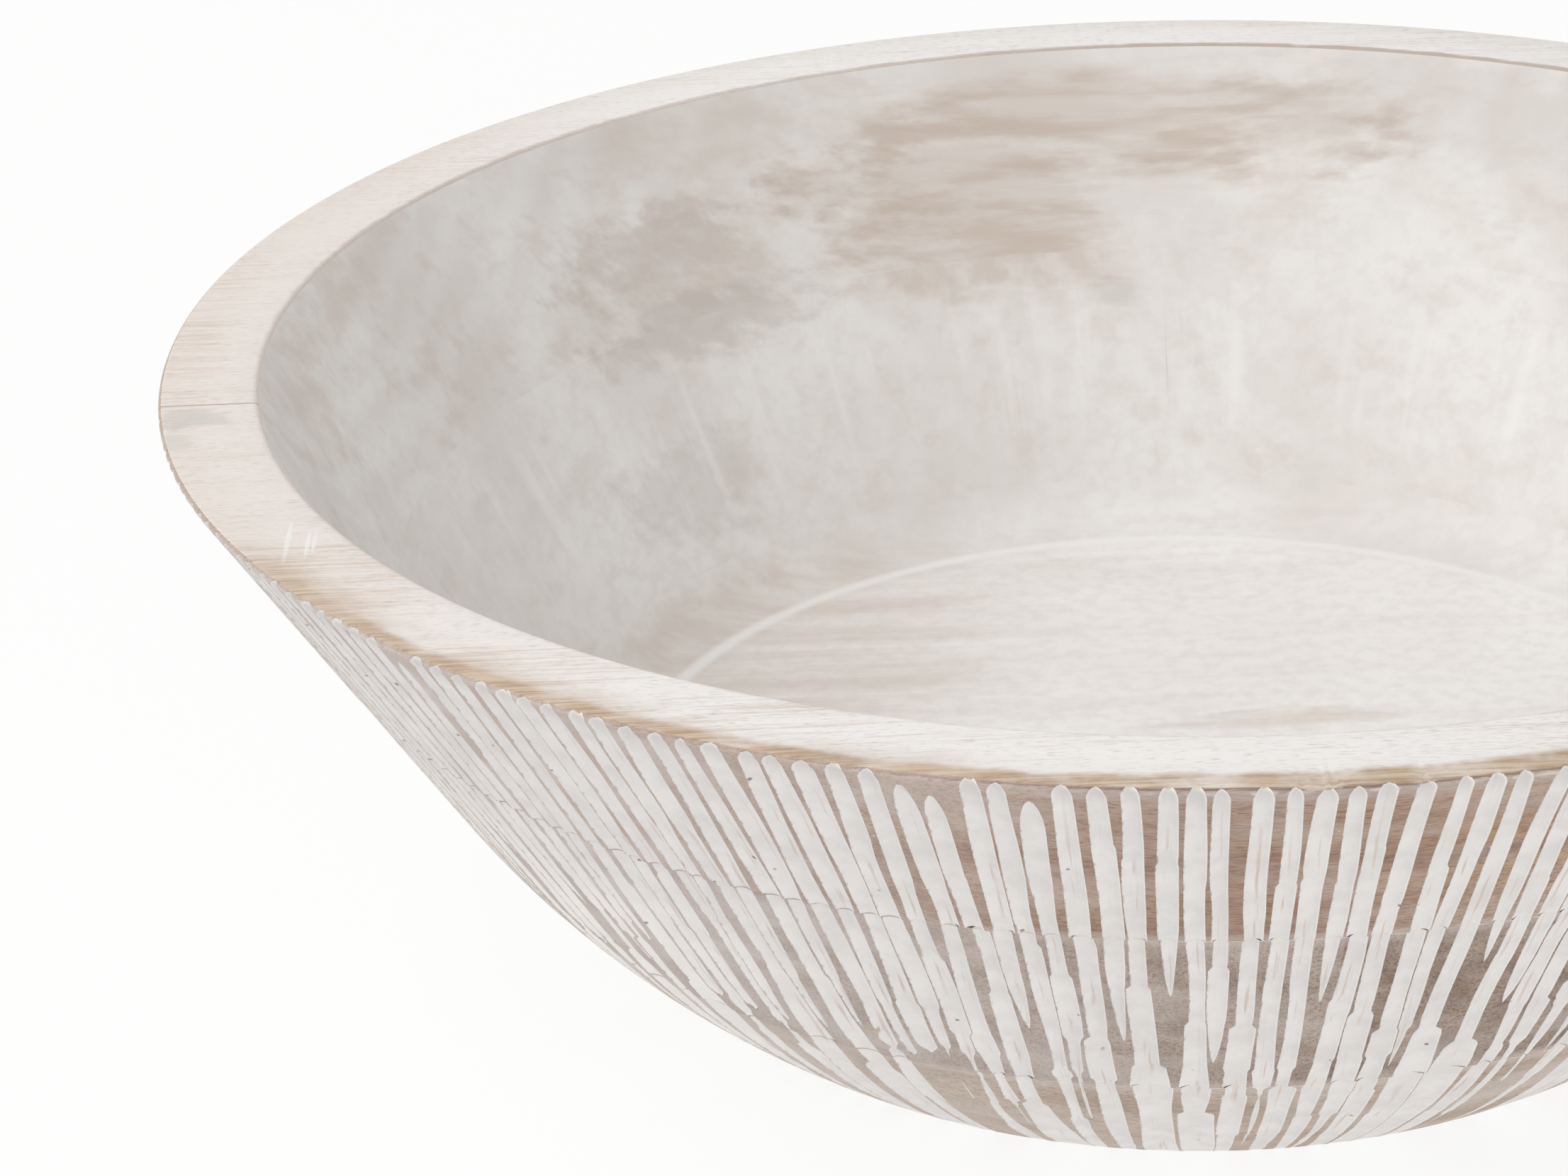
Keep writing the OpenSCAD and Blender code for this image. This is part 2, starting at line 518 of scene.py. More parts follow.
@dataclass
class Fluting:
    """The flutes cut by hand down the outside, in pairs of a long one and a short one.

    Each flute is a row of gouge strokes that start round and run out to a point. A long flute reaches
    the foot, as does about a third of the short ones. The others end on the way.
    """

    form: BowlForm
    pairs: int = 120
    seed: int = 41
    habit: GougeHabit = GougeHabit()
    edge: EdgeHabit = EdgeHabit()
    lip: JointLip = JointLip()
    dents: tuple[Dent, ...] = (
        Dent(-89.6, 0.5, 3.3, 0.9, 0.5),
        Dent(-85.0, 0.4, 1.7, 0.7, 0.4),
        Dent(-117.0, 82.0, 2.0, 1.3, 0.8),
        Dent(-101.0, 79.0, 0.9, 0.8, 0.4),
    )
    # The depth of a wide flute, the curve across it, and what is left of it at the foot
    depth: float = 0.62
    scoop_half: float = 0.75
    scoop_curve: float = 2.3
    foot_fade: float = 9.0
    foot_edge: float = 0.5
    foot_share: float = 0.12
    # How the flutes stray from even places, as a share of their pitch, and how they lean and sway
    loose: Span = (0.14, 0.06)
    lean_shared: float = 0.024
    lean_own: float = 0.003
    lean_group: int = 9
    sway_spans: tuple[Span, Span] = ((60.0, 110.0), (22.0, 40.0))
    sways: Span = (0.24, 0.07)
    # How their widths come and go, and how they change at the glue lines
    swell: float = 0.05
    flares: Span = (-0.05, 0.34)
    flare_reach: float = 7.0
    pinch: float = 0.1
    pinch_reach: float = 12.0
    layer_shift: float = 0.18
    # The sliver of land that is left between two flutes
    least_land: float = 0.1
    settle_rounds: int = 3
    far: float = 9.0
    # The columns of the mesh: their places across a flute, and the room that they keep
    across: tuple[float, ...] = (-1.0, -0.9, -0.65, -0.33, 0.0, 0.33, 0.65, 0.9, 1.0)
    land_columns: int = 2
    least_step: float = 0.01
    least_room: float = 0.2
    spread_share: float = 0.22
    spread_limits: Span = (0.05, 0.8)
    clearance: float = 0.03
    least_half: float = 0.05
    side_limit: float = 1.5
    # The ragged edges of the chips
    chip_ragged: float = 0.25
    chip_waves: Span = (4.3, 2.9)
    chip_edge: float = 1.25
    # What is worked out and drawn once
    meridian: Meridian = field(init=False)
    end: float = field(init=False)
    lines: list[float] = field(init=False)
    centre: Array = field(init=False)
    lean: Array = field(init=False)
    wave: Array = field(init=False)
    span: Array = field(init=False)
    strokes: list[list[Stroke]] = field(init=False)
    joint_wave: Array = field(init=False)
    flare: Array = field(init=False)
    shift: Array = field(init=False)

    def __post_init__(self) -> None:
        """Draws the places, leans and strokes of all flutes."""
        self.meridian = self.form.meridian()
        self.end = float(self.meridian.along[-1])
        self.lines = [self.meridian.at_height(z) for z in (self.form.upper_z, self.form.middle_z)]
        draw = np.random.default_rng(self.seed)
        count = self.count
        even = (np.arange(count) + 0.5) * FULL_TURN / count
        self.centre = even + blend(self.loose, np.cos(even)) * draw.uniform(-1, 1, count) * FULL_TURN / count
        group = np.ones(self.lean_group) / self.lean_group
        shared = np.convolve(np.tile(draw.normal(0, 1, count), 3), group, "same")[count:2 * count]
        self.lean = self.lean_shared * shared + draw.normal(0, self.lean_own, count)
        self.wave = draw.uniform(0, FULL_TURN, (count, 4))
        self.span = np.stack([draw.uniform(*span, count) for span in self.sway_spans], 1)
        self.strokes = [
            self.habit.strokes(draw, number % 2 == 1, float(turn), self.end)
            for number, turn in enumerate(even)
        ]
        self.joint_wave = draw.uniform(0, FULL_TURN, self.lip.wave_count)
        self.flare = draw.uniform(*self.flares, count)
        self.shift = draw.normal(0, self.layer_shift, (3, count))

    @property
    def count(self) -> int:
        """How many flutes start at the rim."""
        return 2 * self.pairs

    @property
    def per_flute(self) -> int:
        """How many columns of the mesh a flute and the land beside it take."""
        return len(self.across) + self.land_columns

    @property
    def columns(self) -> int:
        """How many columns the mesh has round the axis."""
        return self.count * self.per_flute

    def sides(self, along: Array, layer: int) -> tuple[Array, Array]:
        """Works out how far each flute reaches to both sides at distances along the outside.

        Args:
            along: the distances.
            layer: the number of the layer, from the rim down.

        Returns:
            How far the middle lies beside the flute's line, and half the width, which is below zero
            past a flute's ends. Both are given for each flute and distance.
        """
        shape = (self.count, len(along))
        low = np.full(shape, self.far)
        high, best = np.full(shape, -self.far), np.full(shape, -self.far)
        aside = np.zeros(shape)
        for number, strokes in enumerate(self.strokes):
            aside[number] = np.where(along < strokes[0].end, strokes[0].aside, strokes[-1].aside)
            for stroke in strokes:
                half = stroke.half(along)
                low[number] = np.where(half > 0, np.minimum(low[number], stroke.aside - half), low[number])
                high[number] = np.where(half > 0, np.maximum(high[number], stroke.aside + half), high[number])
                best[number] = np.maximum(best[number], half)
        cut = best > 0
        swell = 1 + self.swell * np.sin(along / self.span[:, :1] * FULL_TURN + self.wave[:, 2:3])
        swell += self.flare[:, None] * np.exp(-((along - self.lines[1]) / self.flare_reach) ** 2)
        if layer > 0:
            swell -= self.pinch * np.exp(-(along - self.lines[0]) / self.pinch_reach)
        half = np.where(cut, (high - low) / 2 * swell, best)
        return np.where(cut, (high + low) / 2, aside) + self.shift[layer][:, None], half

    def centres(self, along: Array, radius: Array, aside: Array) -> Array:
        """Works out the direction of each flute's middle at distances along the outside.

        Args:
            along: the distances.
            radius: the radius of the outside there.
            aside: how far the middle lies beside the flute's line.

        Returns:
            Directions for each flute and distance.
        """
        turns = along / self.span[:, :, None] * FULL_TURN + self.wave[:, :2, None]
        sway = self.sways[0] * np.sin(turns[:, 0]) + self.sways[1] * np.sin(turns[:, 1])
        sway += self.lean[:, None] * along + aside
        return self.centre[:, None] + sway / radius

    def serration(self, rows: int, layer: int) -> Array:
        """Draws the small unevenness of both edges of each flute, ring by ring."""
        draw = np.random.default_rng((self.seed, layer))
        shape = (2, self.count, rows)
        chance = draw.random(shape)
        torn = np.where(chance < self.edge.torn_share, draw.uniform(*self.edge.torn_by, shape), 0.0)
        torn[1] *= self.edge.right_share
        return draw.normal(0, self.edge.waver, shape) + torn

    def carve(self, along: Array, layer: int) -> CarvedRows:
        """Lays the columns of the mesh along the flutes and works out the carving.

        Args:
            along: distances of the rings along the outside.
            layer: the number of their layer, from the rim down.

        Returns:
            The carved outside at those rings.
        """
        radius = self.meridian.radius_at(along)
        aside, half = self.sides(along, layer)
        middle = self.centres(along, radius, aside)
        half = self._make_room(middle, half, radius)
        spread = self._spread(middle, half, radius)
        middle = self._keep_between(middle, spread, radius)
        uneven = np.where(half > self.edge.least_half, 1.0, 0.0) * self.serration(len(along), layer)
        edges = np.array(self.across)[:, None, None]
        shift = np.where(edges < 0, uneven[0], uneven[1]) * np.abs(edges) ** 2
        flute_turn = middle + (edges * spread + shift) / radius
        following = np.roll(flute_turn[0], -1, axis=0)
        following[-1] += FULL_TURN
        shares = (np.arange(self.land_columns) + 1.0) / (self.land_columns + 1)
        land_turn = flute_turn[-1] + shares[:, None, None] * (following - flute_turn[-1])
        turn = np.concatenate([flute_turn, land_turn]).transpose(2, 1, 0).reshape(len(along), -1)
        least = np.arange(self.columns) * self.least_step / radius[:, None]
        turn = np.maximum.accumulate(turn - least, axis=1) + least
        carved = self._read_off(turn, middle, half, along, radius)
        carved.depth += self.lip.depth(turn, along, self.lines, layer, self.joint_wave)
        return carved

    def _make_room(self, middle: Array, half: Array, radius: Array) -> Array:
        """Narrows flutes that would run into each other.

        Args:
            middle: directions of the flutes.
            half: half widths of the flutes.
            radius: radius of each ring.

        Returns:
            Half widths that leave a sliver of land between flutes.
        """
        for _ in range(self.settle_rounds):
            for gap in (1, 2):
                other, other_half = np.roll(middle, -gap, axis=0), np.roll(half, -gap, axis=0)
                other[-gap:] += FULL_TURN
                between = np.roll(half, -1, axis=0) > 0
                both = (half > 0) & (other_half > 0) & ((gap == 1) | ~between)
                excess = half + other_half + self.least_land - (other - middle) * radius
                cut = np.where(both & (excess > 0), excess / 2, 0.0)
                half = half - cut - np.roll(cut, gap, axis=0)
        return half

    def _spread(self, middle: Array, half: Array, radius: Array) -> Array:
        """Works out half the width that each flute's columns take, which never comes to nothing."""
        held = np.maximum(half, 0.0)
        before = np.roll(middle + held / radius, 1, axis=0)
        before[0] -= FULL_TURN
        after = np.roll(middle - held / radius, -1, axis=0)
        after[-1] += FULL_TURN
        room = np.maximum((after - before) * radius, self.least_room)
        return np.maximum(half, np.clip(self.spread_share * room, *self.spread_limits))

    def _keep_between(self, middle: Array, spread: Array, radius: Array) -> Array:
        """Moves the short flutes' columns clear of the long flutes beside them."""
        middle = middle.copy()
        low = (middle + spread / radius)[0::2]
        high = np.roll((middle - spread / radius)[0::2], -1, axis=0)
        high[-1] += FULL_TURN
        margin = (spread[1::2] + self.clearance) / radius
        least, most = low + margin, high - margin
        kept = np.clip(middle[1::2], least, np.maximum(least, most))
        middle[1::2] = np.where(least > most, (low + high) / 2, kept)
        return middle

    def _read_off(self, turn: Array, middle: Array, half: Array,
                  along: Array, radius: Array) -> CarvedRows:
        """Reads the carving at each column from the flutes on both sides of it.

        Args:
            turn: direction of each column at each ring.
            middle: directions of the flutes.
            half: half widths of the flutes.
            along: distances of the rings along the outside.
            radius: radius of each ring.

        Returns:
            The carved outside at those rings and columns.
        """
        own = np.repeat(np.arange(self.count), self.per_flute)
        shape = turn.shape
        cut, side, number = np.full(shape, -self.far), np.zeros(shape), np.zeros(shape)
        depth = np.zeros(shape)
        fade = [self.end - self.foot_fade, self.end - self.foot_edge]
        full = self.depth * np.interp(along, fade, [1.0, self.foot_share])
        for offset in (-1, 0, 1, 2):
            flute = (own + offset) % self.count
            lap = (own + offset - flute) / self.count * FULL_TURN
            width = half[flute].T
            away = (turn - middle[flute].T - lap) * radius[:, None]
            inside = width - np.abs(away)
            nearer = inside > cut
            share = np.clip(away / np.maximum(width, self.least_half), -self.side_limit, self.side_limit)
            cut = np.where(nearer, inside, cut)
            side = np.where(nearer, share, side)
            number = np.where(nearer, flute, number)
            scoop = full[:, None] * (1 - np.exp(-np.maximum(width, 0) / self.scoop_half))
            depth = np.maximum(depth, scoop * np.clip(1 - np.abs(share) ** self.scoop_curve, 0, 1))
        wear, chipped = self._chip(turn, along, radius)
        return CarvedRows(turn, depth + chipped, cut, side, number, wear)

    def _chip(self, turn: Array, along: Array, radius: Array) -> tuple[Array, Array]:
        """Works out where the chips are and how deep they go."""
        wear, depth = np.zeros(turn.shape), np.zeros(turn.shape)
        for dent in self.dents:
            away = turn_between(turn, math.radians(dent.turn)) * radius[:, None]
            teeth = np.sin(away * self.chip_waves[0] + along[:, None] * self.chip_waves[1])
            reach = np.hypot(away / dent.across, (along[:, None] - dent.along) / dent.down)
            share = np.clip(self.chip_edge - reach + self.chip_ragged * teeth, 0, 1)
            share = share * share * (3 - 2 * share)
            wear, depth = np.maximum(wear, share), np.maximum(depth, share * dent.depth)
        return wear, depth


@dataclass(frozen=True)
class Ramp:
    """A smooth rise from floor to top, while a value goes from low to high."""

    low: float
    high: float
    floor: float = 0.0
    top: float = 1.0


@dataclass(frozen=True)
class Noise:
    """Soft noise: its scale, the same or one for each way, its finer layers and their strength."""

    scale: float | Point
    detail: float = 2.0
    rough: float = 0.5


@dataclass(frozen=True)
class Cloud:
    """A mask of soft noise, with the ramp that makes a mask of it."""

    noise: Noise
    ramp: Ramp


class NodeBench:
    """Short calls for the shader nodes that the effects and finishes are made of."""

    noise_middle: float = 0.5

    def __init__(self, tree: Tree) -> None:
        """Takes the tree that the nodes go into."""
        self.tree = tree

    def feed(self, socket: Socket, value: Feed) -> None:
        """Links a socket to another, or sets its value."""
        if isinstance(value, bpy.types.NodeSocket):
            self.tree.links.new(value, socket)
        elif value is not None:
            socket.default_value = value

    def add(self, kind: str, feeds: dict[str | int, Feed] | None = None,
            **settings: object) -> Node:
        """Adds a node.

        Args:
            kind: the node's type, without the words that all shader nodes share.
            feeds: values or sockets for its inputs, by name or by number.
            settings: the node's own settings.

        Returns:
            The new node.
        """
        node = self.tree.nodes.new("ShaderNode" + kind)
        for name, value in settings.items():
            setattr(node, name, value)
        for name, value in (feeds or {}).items():
            self.feed(node.inputs[name], value)
        return node

    def math(self, operation: str, first: Feed, second: Feed = 0.0) -> Socket:
        """Returns the result of an operation on two numbers."""
        return self.add("Math", {0: first, 1: second}, operation=operation).outputs[0]

    def times(self, *values: Feed) -> Feed:
        """Returns the product of several numbers."""
        product = values[0]
        for value in values[1:]:
            product = self.math("MULTIPLY", product, value)
        return product

    def plus(self, first: Feed, second: Feed) -> Socket:
        """Returns the sum of two numbers."""
        return self.math("ADD", first, second)

    def less(self, first: Feed, second: Feed) -> Socket:
        """Returns the first number without the second."""
        return self.math("SUBTRACT", first, second)

    def most(self, first: Feed, second: Feed) -> Socket:
        """Returns the larger of two numbers."""
        return self.math("MAXIMUM", first, second)

    def away(self, value: Feed, target: Feed) -> Socket:
        """Returns how far a value is from a target."""
        return self.math("ABSOLUTE", self.less(value, target))

    def swing(self, noise: Socket, size: Feed) -> Socket:
        """Returns noise as a swing of some size to both sides of zero."""
        return self.times(self.less(noise, self.noise_middle), size)

    def vector(self, operation: str, first: Feed, second: Feed = None) -> Socket:
        """Returns the result of an operation on two vectors."""
        node = self.add("VectorMath", {0: first, 1: second}, operation=operation)
        return node.outputs["Value" if operation == "LENGTH" else "Vector"]

    def parts(self, vector: Socket) -> tuple[Socket, Socket, Socket]:
        """Returns the three parts of a vector."""
        outputs = self.add("SeparateXYZ", {"Vector": vector}).outputs
        return outputs[0], outputs[1], outputs[2]

    def join(self, x: Feed, y: Feed, z: Feed) -> Socket:
        """Returns a vector made of three numbers."""
        return self.add("CombineXYZ", {"X": x, "Y": y, "Z": z}).outputs[0]

    def turned(self, place: Socket, turn: Feed) -> Socket:
        """Returns a place turned about the Z axis."""
        return self.add("VectorRotate", {"Vector": place, "Angle": turn}, rotation_type="Z_AXIS").outputs[0]

    def mix(self, share: Feed, first: Feed, second: Feed) -> Socket:
        """Returns a colour between two colours."""
        return self.add("Mix", {0: share, 6: first, 7: second}, data_type="RGBA").outputs[2]

    def tint(self, shade: Feed, *coats: tuple[Feed, str]) -> Feed:
        """Returns a colour with coats over it, each a mask and its own colour as "#rrggbb"."""
        for mask, code in coats:
            shade = self.mix(mask, shade, colour(code))
        return shade

    def rise(self, value: Feed, low: Feed, high: Feed, floor: float = 0.0, top: float = 1.0) -> Socket:
        """Returns a smooth rise from floor to top while a value goes from low to high."""
        feeds = dict(enumerate((value, low, high, floor, top)))
        return self.add("MapRange", feeds, interpolation_type="SMOOTHSTEP").outputs[0]

    def ramp(self, value: Feed, ramp: Ramp) -> Socket:
        """Returns the smooth rise that a ramp describes."""
        return self.rise(value, ramp.low, ramp.high, ramp.floor, ramp.top)

    def noise(self, place: Socket, noise: Noise) -> Socket:
        """Returns soft noise at a place, about a middle of 0.5."""
        scale = noise.scale
        if isinstance(scale, tuple):
            place = self.vector("MULTIPLY", place, scale)
            scale = 1.0
        feeds = {"Vector": place, "Scale": scale, "Detail": noise.detail, "Roughness": noise.rough}
        return self.add("TexNoise", feeds).outputs[0]

    def cloud(self, place: Socket, cloud: Cloud) -> Socket:
        """Returns a mask of soft noise."""
        return self.ramp(self.noise(place, cloud.noise), cloud.ramp)

    def effect(self, tree: Tree, **feeds: Feed) -> Node:
        """Places a shared effect and feeds its inputs, named with underscores for spaces."""
        named = {name.replace("_", " ").title(): value for name, value in feeds.items()}
        return self.add("Group", named, node_tree=tree)

    def attribute(self, name: str, output: str = "Fac") -> Socket:
        """Returns a value that the mesh carries."""
        return self.add("Attribute", attribute_name=name).outputs[output]


class Group(NodeBench):
    """A bench for an effect that several finishes share."""

    def __init__(self, name: str, inputs: dict[str, str], outputs: dict[str, str]) -> None:
        """Starts the effect, with the kind of each of its inputs and outputs."""
        super().__init__(bpy.data.node_groups.new(name, "ShaderNodeTree"))
        for way, sockets in (("INPUT", inputs), ("OUTPUT", outputs)):
            for label, kind in sockets.items():
                self.tree.interface.new_socket(label, in_out=way, socket_type="NodeSocket" + kind)
        self.source = self.tree.nodes.new("NodeGroupInput")

    def __getitem__(self, name: str) -> Socket:
        """Returns what comes in by one of the inputs."""
        return self.source.outputs[name]

    def give(self, *values: Feed) -> Tree:
        """Feeds the outputs in their order, and returns the finished effect."""
        for socket, value in zip(self.tree.nodes.new("NodeGroupOutput").inputs, values):
            self.feed(socket, value)
        return self.tree


class Effects:
    """The node groups that several finishes share, each built once."""

    fibre: Noise = Noise((0.05, 1.5, 1.5), 5.0, 0.62)
    band: Cloud = Cloud(Noise((0.009, 0.11, 0.14), 3.0, 0.55), Ramp(0.3, 0.7))
    pore: Cloud = Cloud(Noise((0.45, 4.6, 4.6)), Ramp(0.57, 0.69))
    pore_crowding: float = -0.16
    ring_sway: Noise = Noise((0.006, 0.03, 0.03))
    ring_sway_by: float = 26.0
    ring: Ramp = Ramp(-1.0, 1.0)
    patch_edge: Noise = Noise(1.0, 3.0, 0.6)
    patch_ragged: float = 4.0
    patch: Ramp = Ramp(1.15, 0.45)
    wash_cover: Ramp = Ramp(0.1, 0.9)
    pit_growth: float = 0.4
    pit_middle: float = 0.45

    def __init__(self) -> None:
        """Builds all effects."""
        self.turned_place = self._turned_place()
        self.wood_grain = self._wood_grain()
        self.soft_patch = self._soft_patch()
        self.whitewash = self._whitewash()
        self.small_pits = self._small_pits()

    def _turned_place(self) -> Tree:
        """Builds the place on a turned piece: millimetres, radius, height and way round."""
        on = Group(
            "turned_place", {"Vector": "Vector"},
            {"Place": "Vector", "Radius": "Float", "Height": "Float", "Way": "Vector"},
        )
        place = on.vector("MULTIPLY", on["Vector"], (1 / MM, 1 / MM, 1 / MM))
        x, y, z = on.parts(place)
        flat = on.join(x, y, 0.0)
        return on.give(place, on.vector("LENGTH", flat), z, on.vector("NORMALIZE", flat))

    def _wood_grain(self) -> Tree:
        """Builds grain that runs one way through a board and shows as end grain where it is cut across."""
        on = Group(
            "wood_grain", {"Place": "Vector", "Turn": "Float", "Shift": "Vector", "Ring Pitch": "Float"},
            {"Fibre": "Float", "Band": "Float", "Pore": "Float", "Ring": "Float"},
        )
        place = on.vector("ADD", on.turned(on["Place"], on["Turn"]), on["Shift"])
        band = on.noise(place, self.band.noise)
        crowded = on.plus(on.noise(place, self.pore.noise), on.swing(band, self.pore_crowding))
        sway = on.times(on.noise(place, self.ring_sway), self.ring_sway_by)
        _, y, z = on.parts(place)
        reach = on.plus(on.vector("LENGTH", on.join(0.0, y, z)), sway)
        turns = on.math("DIVIDE", on.times(reach, FULL_TURN), on["Ring Pitch"])
        return on.give(on.noise(place, self.fibre), on.ramp(band, self.band.ramp),
                       on.ramp(crowded, self.pore.ramp), on.ramp(on.math("SINE", turns), self.ring))

    def _soft_patch(self) -> Tree:
        """Builds a soft, ragged mask round one place."""
        on = Group(
            "soft_patch",
            {"Place": "Vector", "Centre": "Vector", "Reach": "Vector",
             "Ragged": "Float", "Ragged Scale": "Vector"},
            {"Mask": "Float"},
        )
        offset = on.vector("SUBTRACT", on["Place"], on["Centre"])
        away = on.vector("LENGTH", on.vector("DIVIDE", offset, on["Reach"]))
        edge = on.noise(on.vector("MULTIPLY", on["Place"], on["Ragged Scale"]), self.patch_edge)
        uneven = on.swing(edge, on.times(on["Ragged"], self.patch_ragged))
        return on.give(on.ramp(on.plus(away, uneven), self.patch))

    def _whitewash(self) -> Tree:
        """Builds thin paint over wood, which the fibres wear through."""
        on = Group(
            "whitewash",
            {"Wood": "Color", "Paint": "Color", "Cover": "Float", "Fibre": "Float", "Streak": "Float"},
            {"Color": "Color", "Mask": "Float"},
        )
        cover = on.plus(on["Cover"], on.swing(on["Fibre"], on["Streak"]))
        mask = on.ramp(cover, self.wash_cover)
        return on.give(on.mix(mask, on["Wood"], on["Paint"]), mask)

    def _small_pits(self) -> Tree:
        """Builds scattered small pits, a share of all that could be there."""
        on = Group(
            "small_pits", {"Place": "Vector", "Scale": "Float", "Share": "Float", "Size": "Float"},
            {"Mask": "Float"},
        )
        cells = on.add("TexVoronoi", {"Vector": on["Place"], "Scale": on["Scale"]})
        chance, growth, _ = on.parts(cells.outputs["Color"])
        there = on.math("LESS_THAN", chance, on["Share"])
        size = on.times(on["Size"], on.plus(growth, self.pit_growth))
        spot = on.rise(cells.outputs["Distance"], size, on.times(size, self.pit_middle))
        return on.give(on.times(there, spot))


@dataclass(frozen=True)
class Patch:
    """A place where a finish differs: its middle, its reach and how strongly it differs."""

    centre: Point
    reach: Point
    strength: float = 1.0
    ragged: float = 0.5


@dataclass(frozen=True)
class Wood:
    """The wood of one board: its colours, the way that its grain runs and the pitch of its rings.

    The shift is where in the log the board was cut, which moves its figure.
    """

    light: str
    dark: str
    pore: str
    way: GrainWay
    shift: Point
    ring_pitch: float = 9.0


class Dressing(NodeBench):
    """A bench for one material, with its shader, the place on the piece and the grain there."""

    def __init__(self, material: bpy.types.Material, effects: Effects, wood: Wood) -> None:
        """Starts the material with the place and the grain."""
        super().__init__(material.node_tree)
        self.shader = self.tree.nodes["Principled BSDF"]
        place = self.effect(effects.turned_place, vector=self.add("TexCoord").outputs["Object"])
        self.spot, self.radius, self.height, self.way = place.outputs
        self.x, self.y, _ = self.parts(self.spot)
        grain = self.effect(effects.wood_grain, place=self.spot, turn=wood.way.value,
                            shift=wood.shift, ring_pitch=wood.ring_pitch)
        self.fibre, self.band, self.pores, self.ring = grain.outputs

    def coat(self, shade: Feed, rough: Feed, gloss: float) -> None:
        """Gives the shader its colour, roughness and gloss."""
        feeds = {"Base Color": shade, "Roughness": rough, "Specular IOR Level": gloss}
        for name, value in feeds.items():
            self.feed(self.shader.inputs[name], value)

    def bump(self, height: Socket, relief: Span) -> None:
        """Gives the shader a fine relief, of a strength and a depth in millimetres."""
        feeds = {"Strength": relief[0], "Distance": relief[1] * MM, "Height": height}
        self.feed(self.shader.inputs["Normal"], self.add("Bump", feeds).outputs["Normal"])


@dataclass(frozen=True)
class Finish:
    """A finish on one board: its colours, and the ramps, noises and shares that it is mixed from.

    The edge colours are those of the rim's rubbed edge. The relief is a strength and a depth.
    """

    wood: Wood
    effects: Effects
    edge_light: str = "#cdb8a0"
    edge_dark: str = "#a78b6f"
    edge_fibre: Ramp = Ramp(0.36, 0.64)
    tone_shares: Span = (0.75, 0.25)
    dark_fibre: Ramp = Ramp(0.62, 0.3, 0.0, 0.3)
    pore_share: float = 0.7
    patch_scale: Point = (0.05, 0.2, 0.2)
    gloss: float = 0.35
    relief: Span = (0.3, 0.08)

    def material(self, name: str) -> bpy.types.Material:
        """Makes the finish.

        Args:
            name: the material's name.

        Returns:
            The material.
        """
        material = bpy.data.materials.new(name)
        material.use_nodes = True
        self.dress(Dressing(material, self.effects, self.wood))
        return material

    def dress(self, on: Dressing) -> None:
        """Gives the shader its colour, roughness and relief."""
        raise NotImplementedError

    def rubbed_edge(self, on: Dressing) -> Socket:
        """Returns the colour of the wood where the edge of the rim is rubbed bare."""
        light = on.ramp(on.fibre, self.edge_fibre)
        return on.tint(colour(self.edge_dark), (light, self.edge_light))

    def bare_wood(self, on: Dressing) -> Socket:
        """Returns the colour of the bare wood, with its bands, rings, fibres and pores."""
        wood = self.wood
        band, ring = self.tone_shares
        tone = on.plus(on.times(on.band, band), on.times(on.ring, ring))
        fibre, pores = on.ramp(on.fibre, self.dark_fibre), on.times(on.pores, self.pore_share)
        return on.tint(colour(wood.dark), (tone, wood.light), (fibre, wood.pore), (pores, wood.pore))

    def masks(self, on: Dressing, patches: tuple[Patch, ...], scale: Point | None = None) -> Feed:
        """Returns the strongest of several patches at each place."""
        total: Feed = 0.0
        for patch in patches:
            node = on.effect(self.effects.soft_patch, place=on.spot, centre=patch.centre,
                             reach=patch.reach, ragged=patch.ragged,
                             ragged_scale=scale or self.patch_scale)
            total = on.most(total, on.times(node.outputs["Mask"], patch.strength))
        return total


LONG_DASHES = Cloud(Noise((0.4, 3.2, 3.2), 2.0, 0.55), Ramp(0.5, 0.63))
END_DASHES = Cloud(Noise((1.6, 1.6, 1.6), 2.0, 0.55), Ramp(0.5, 0.63))


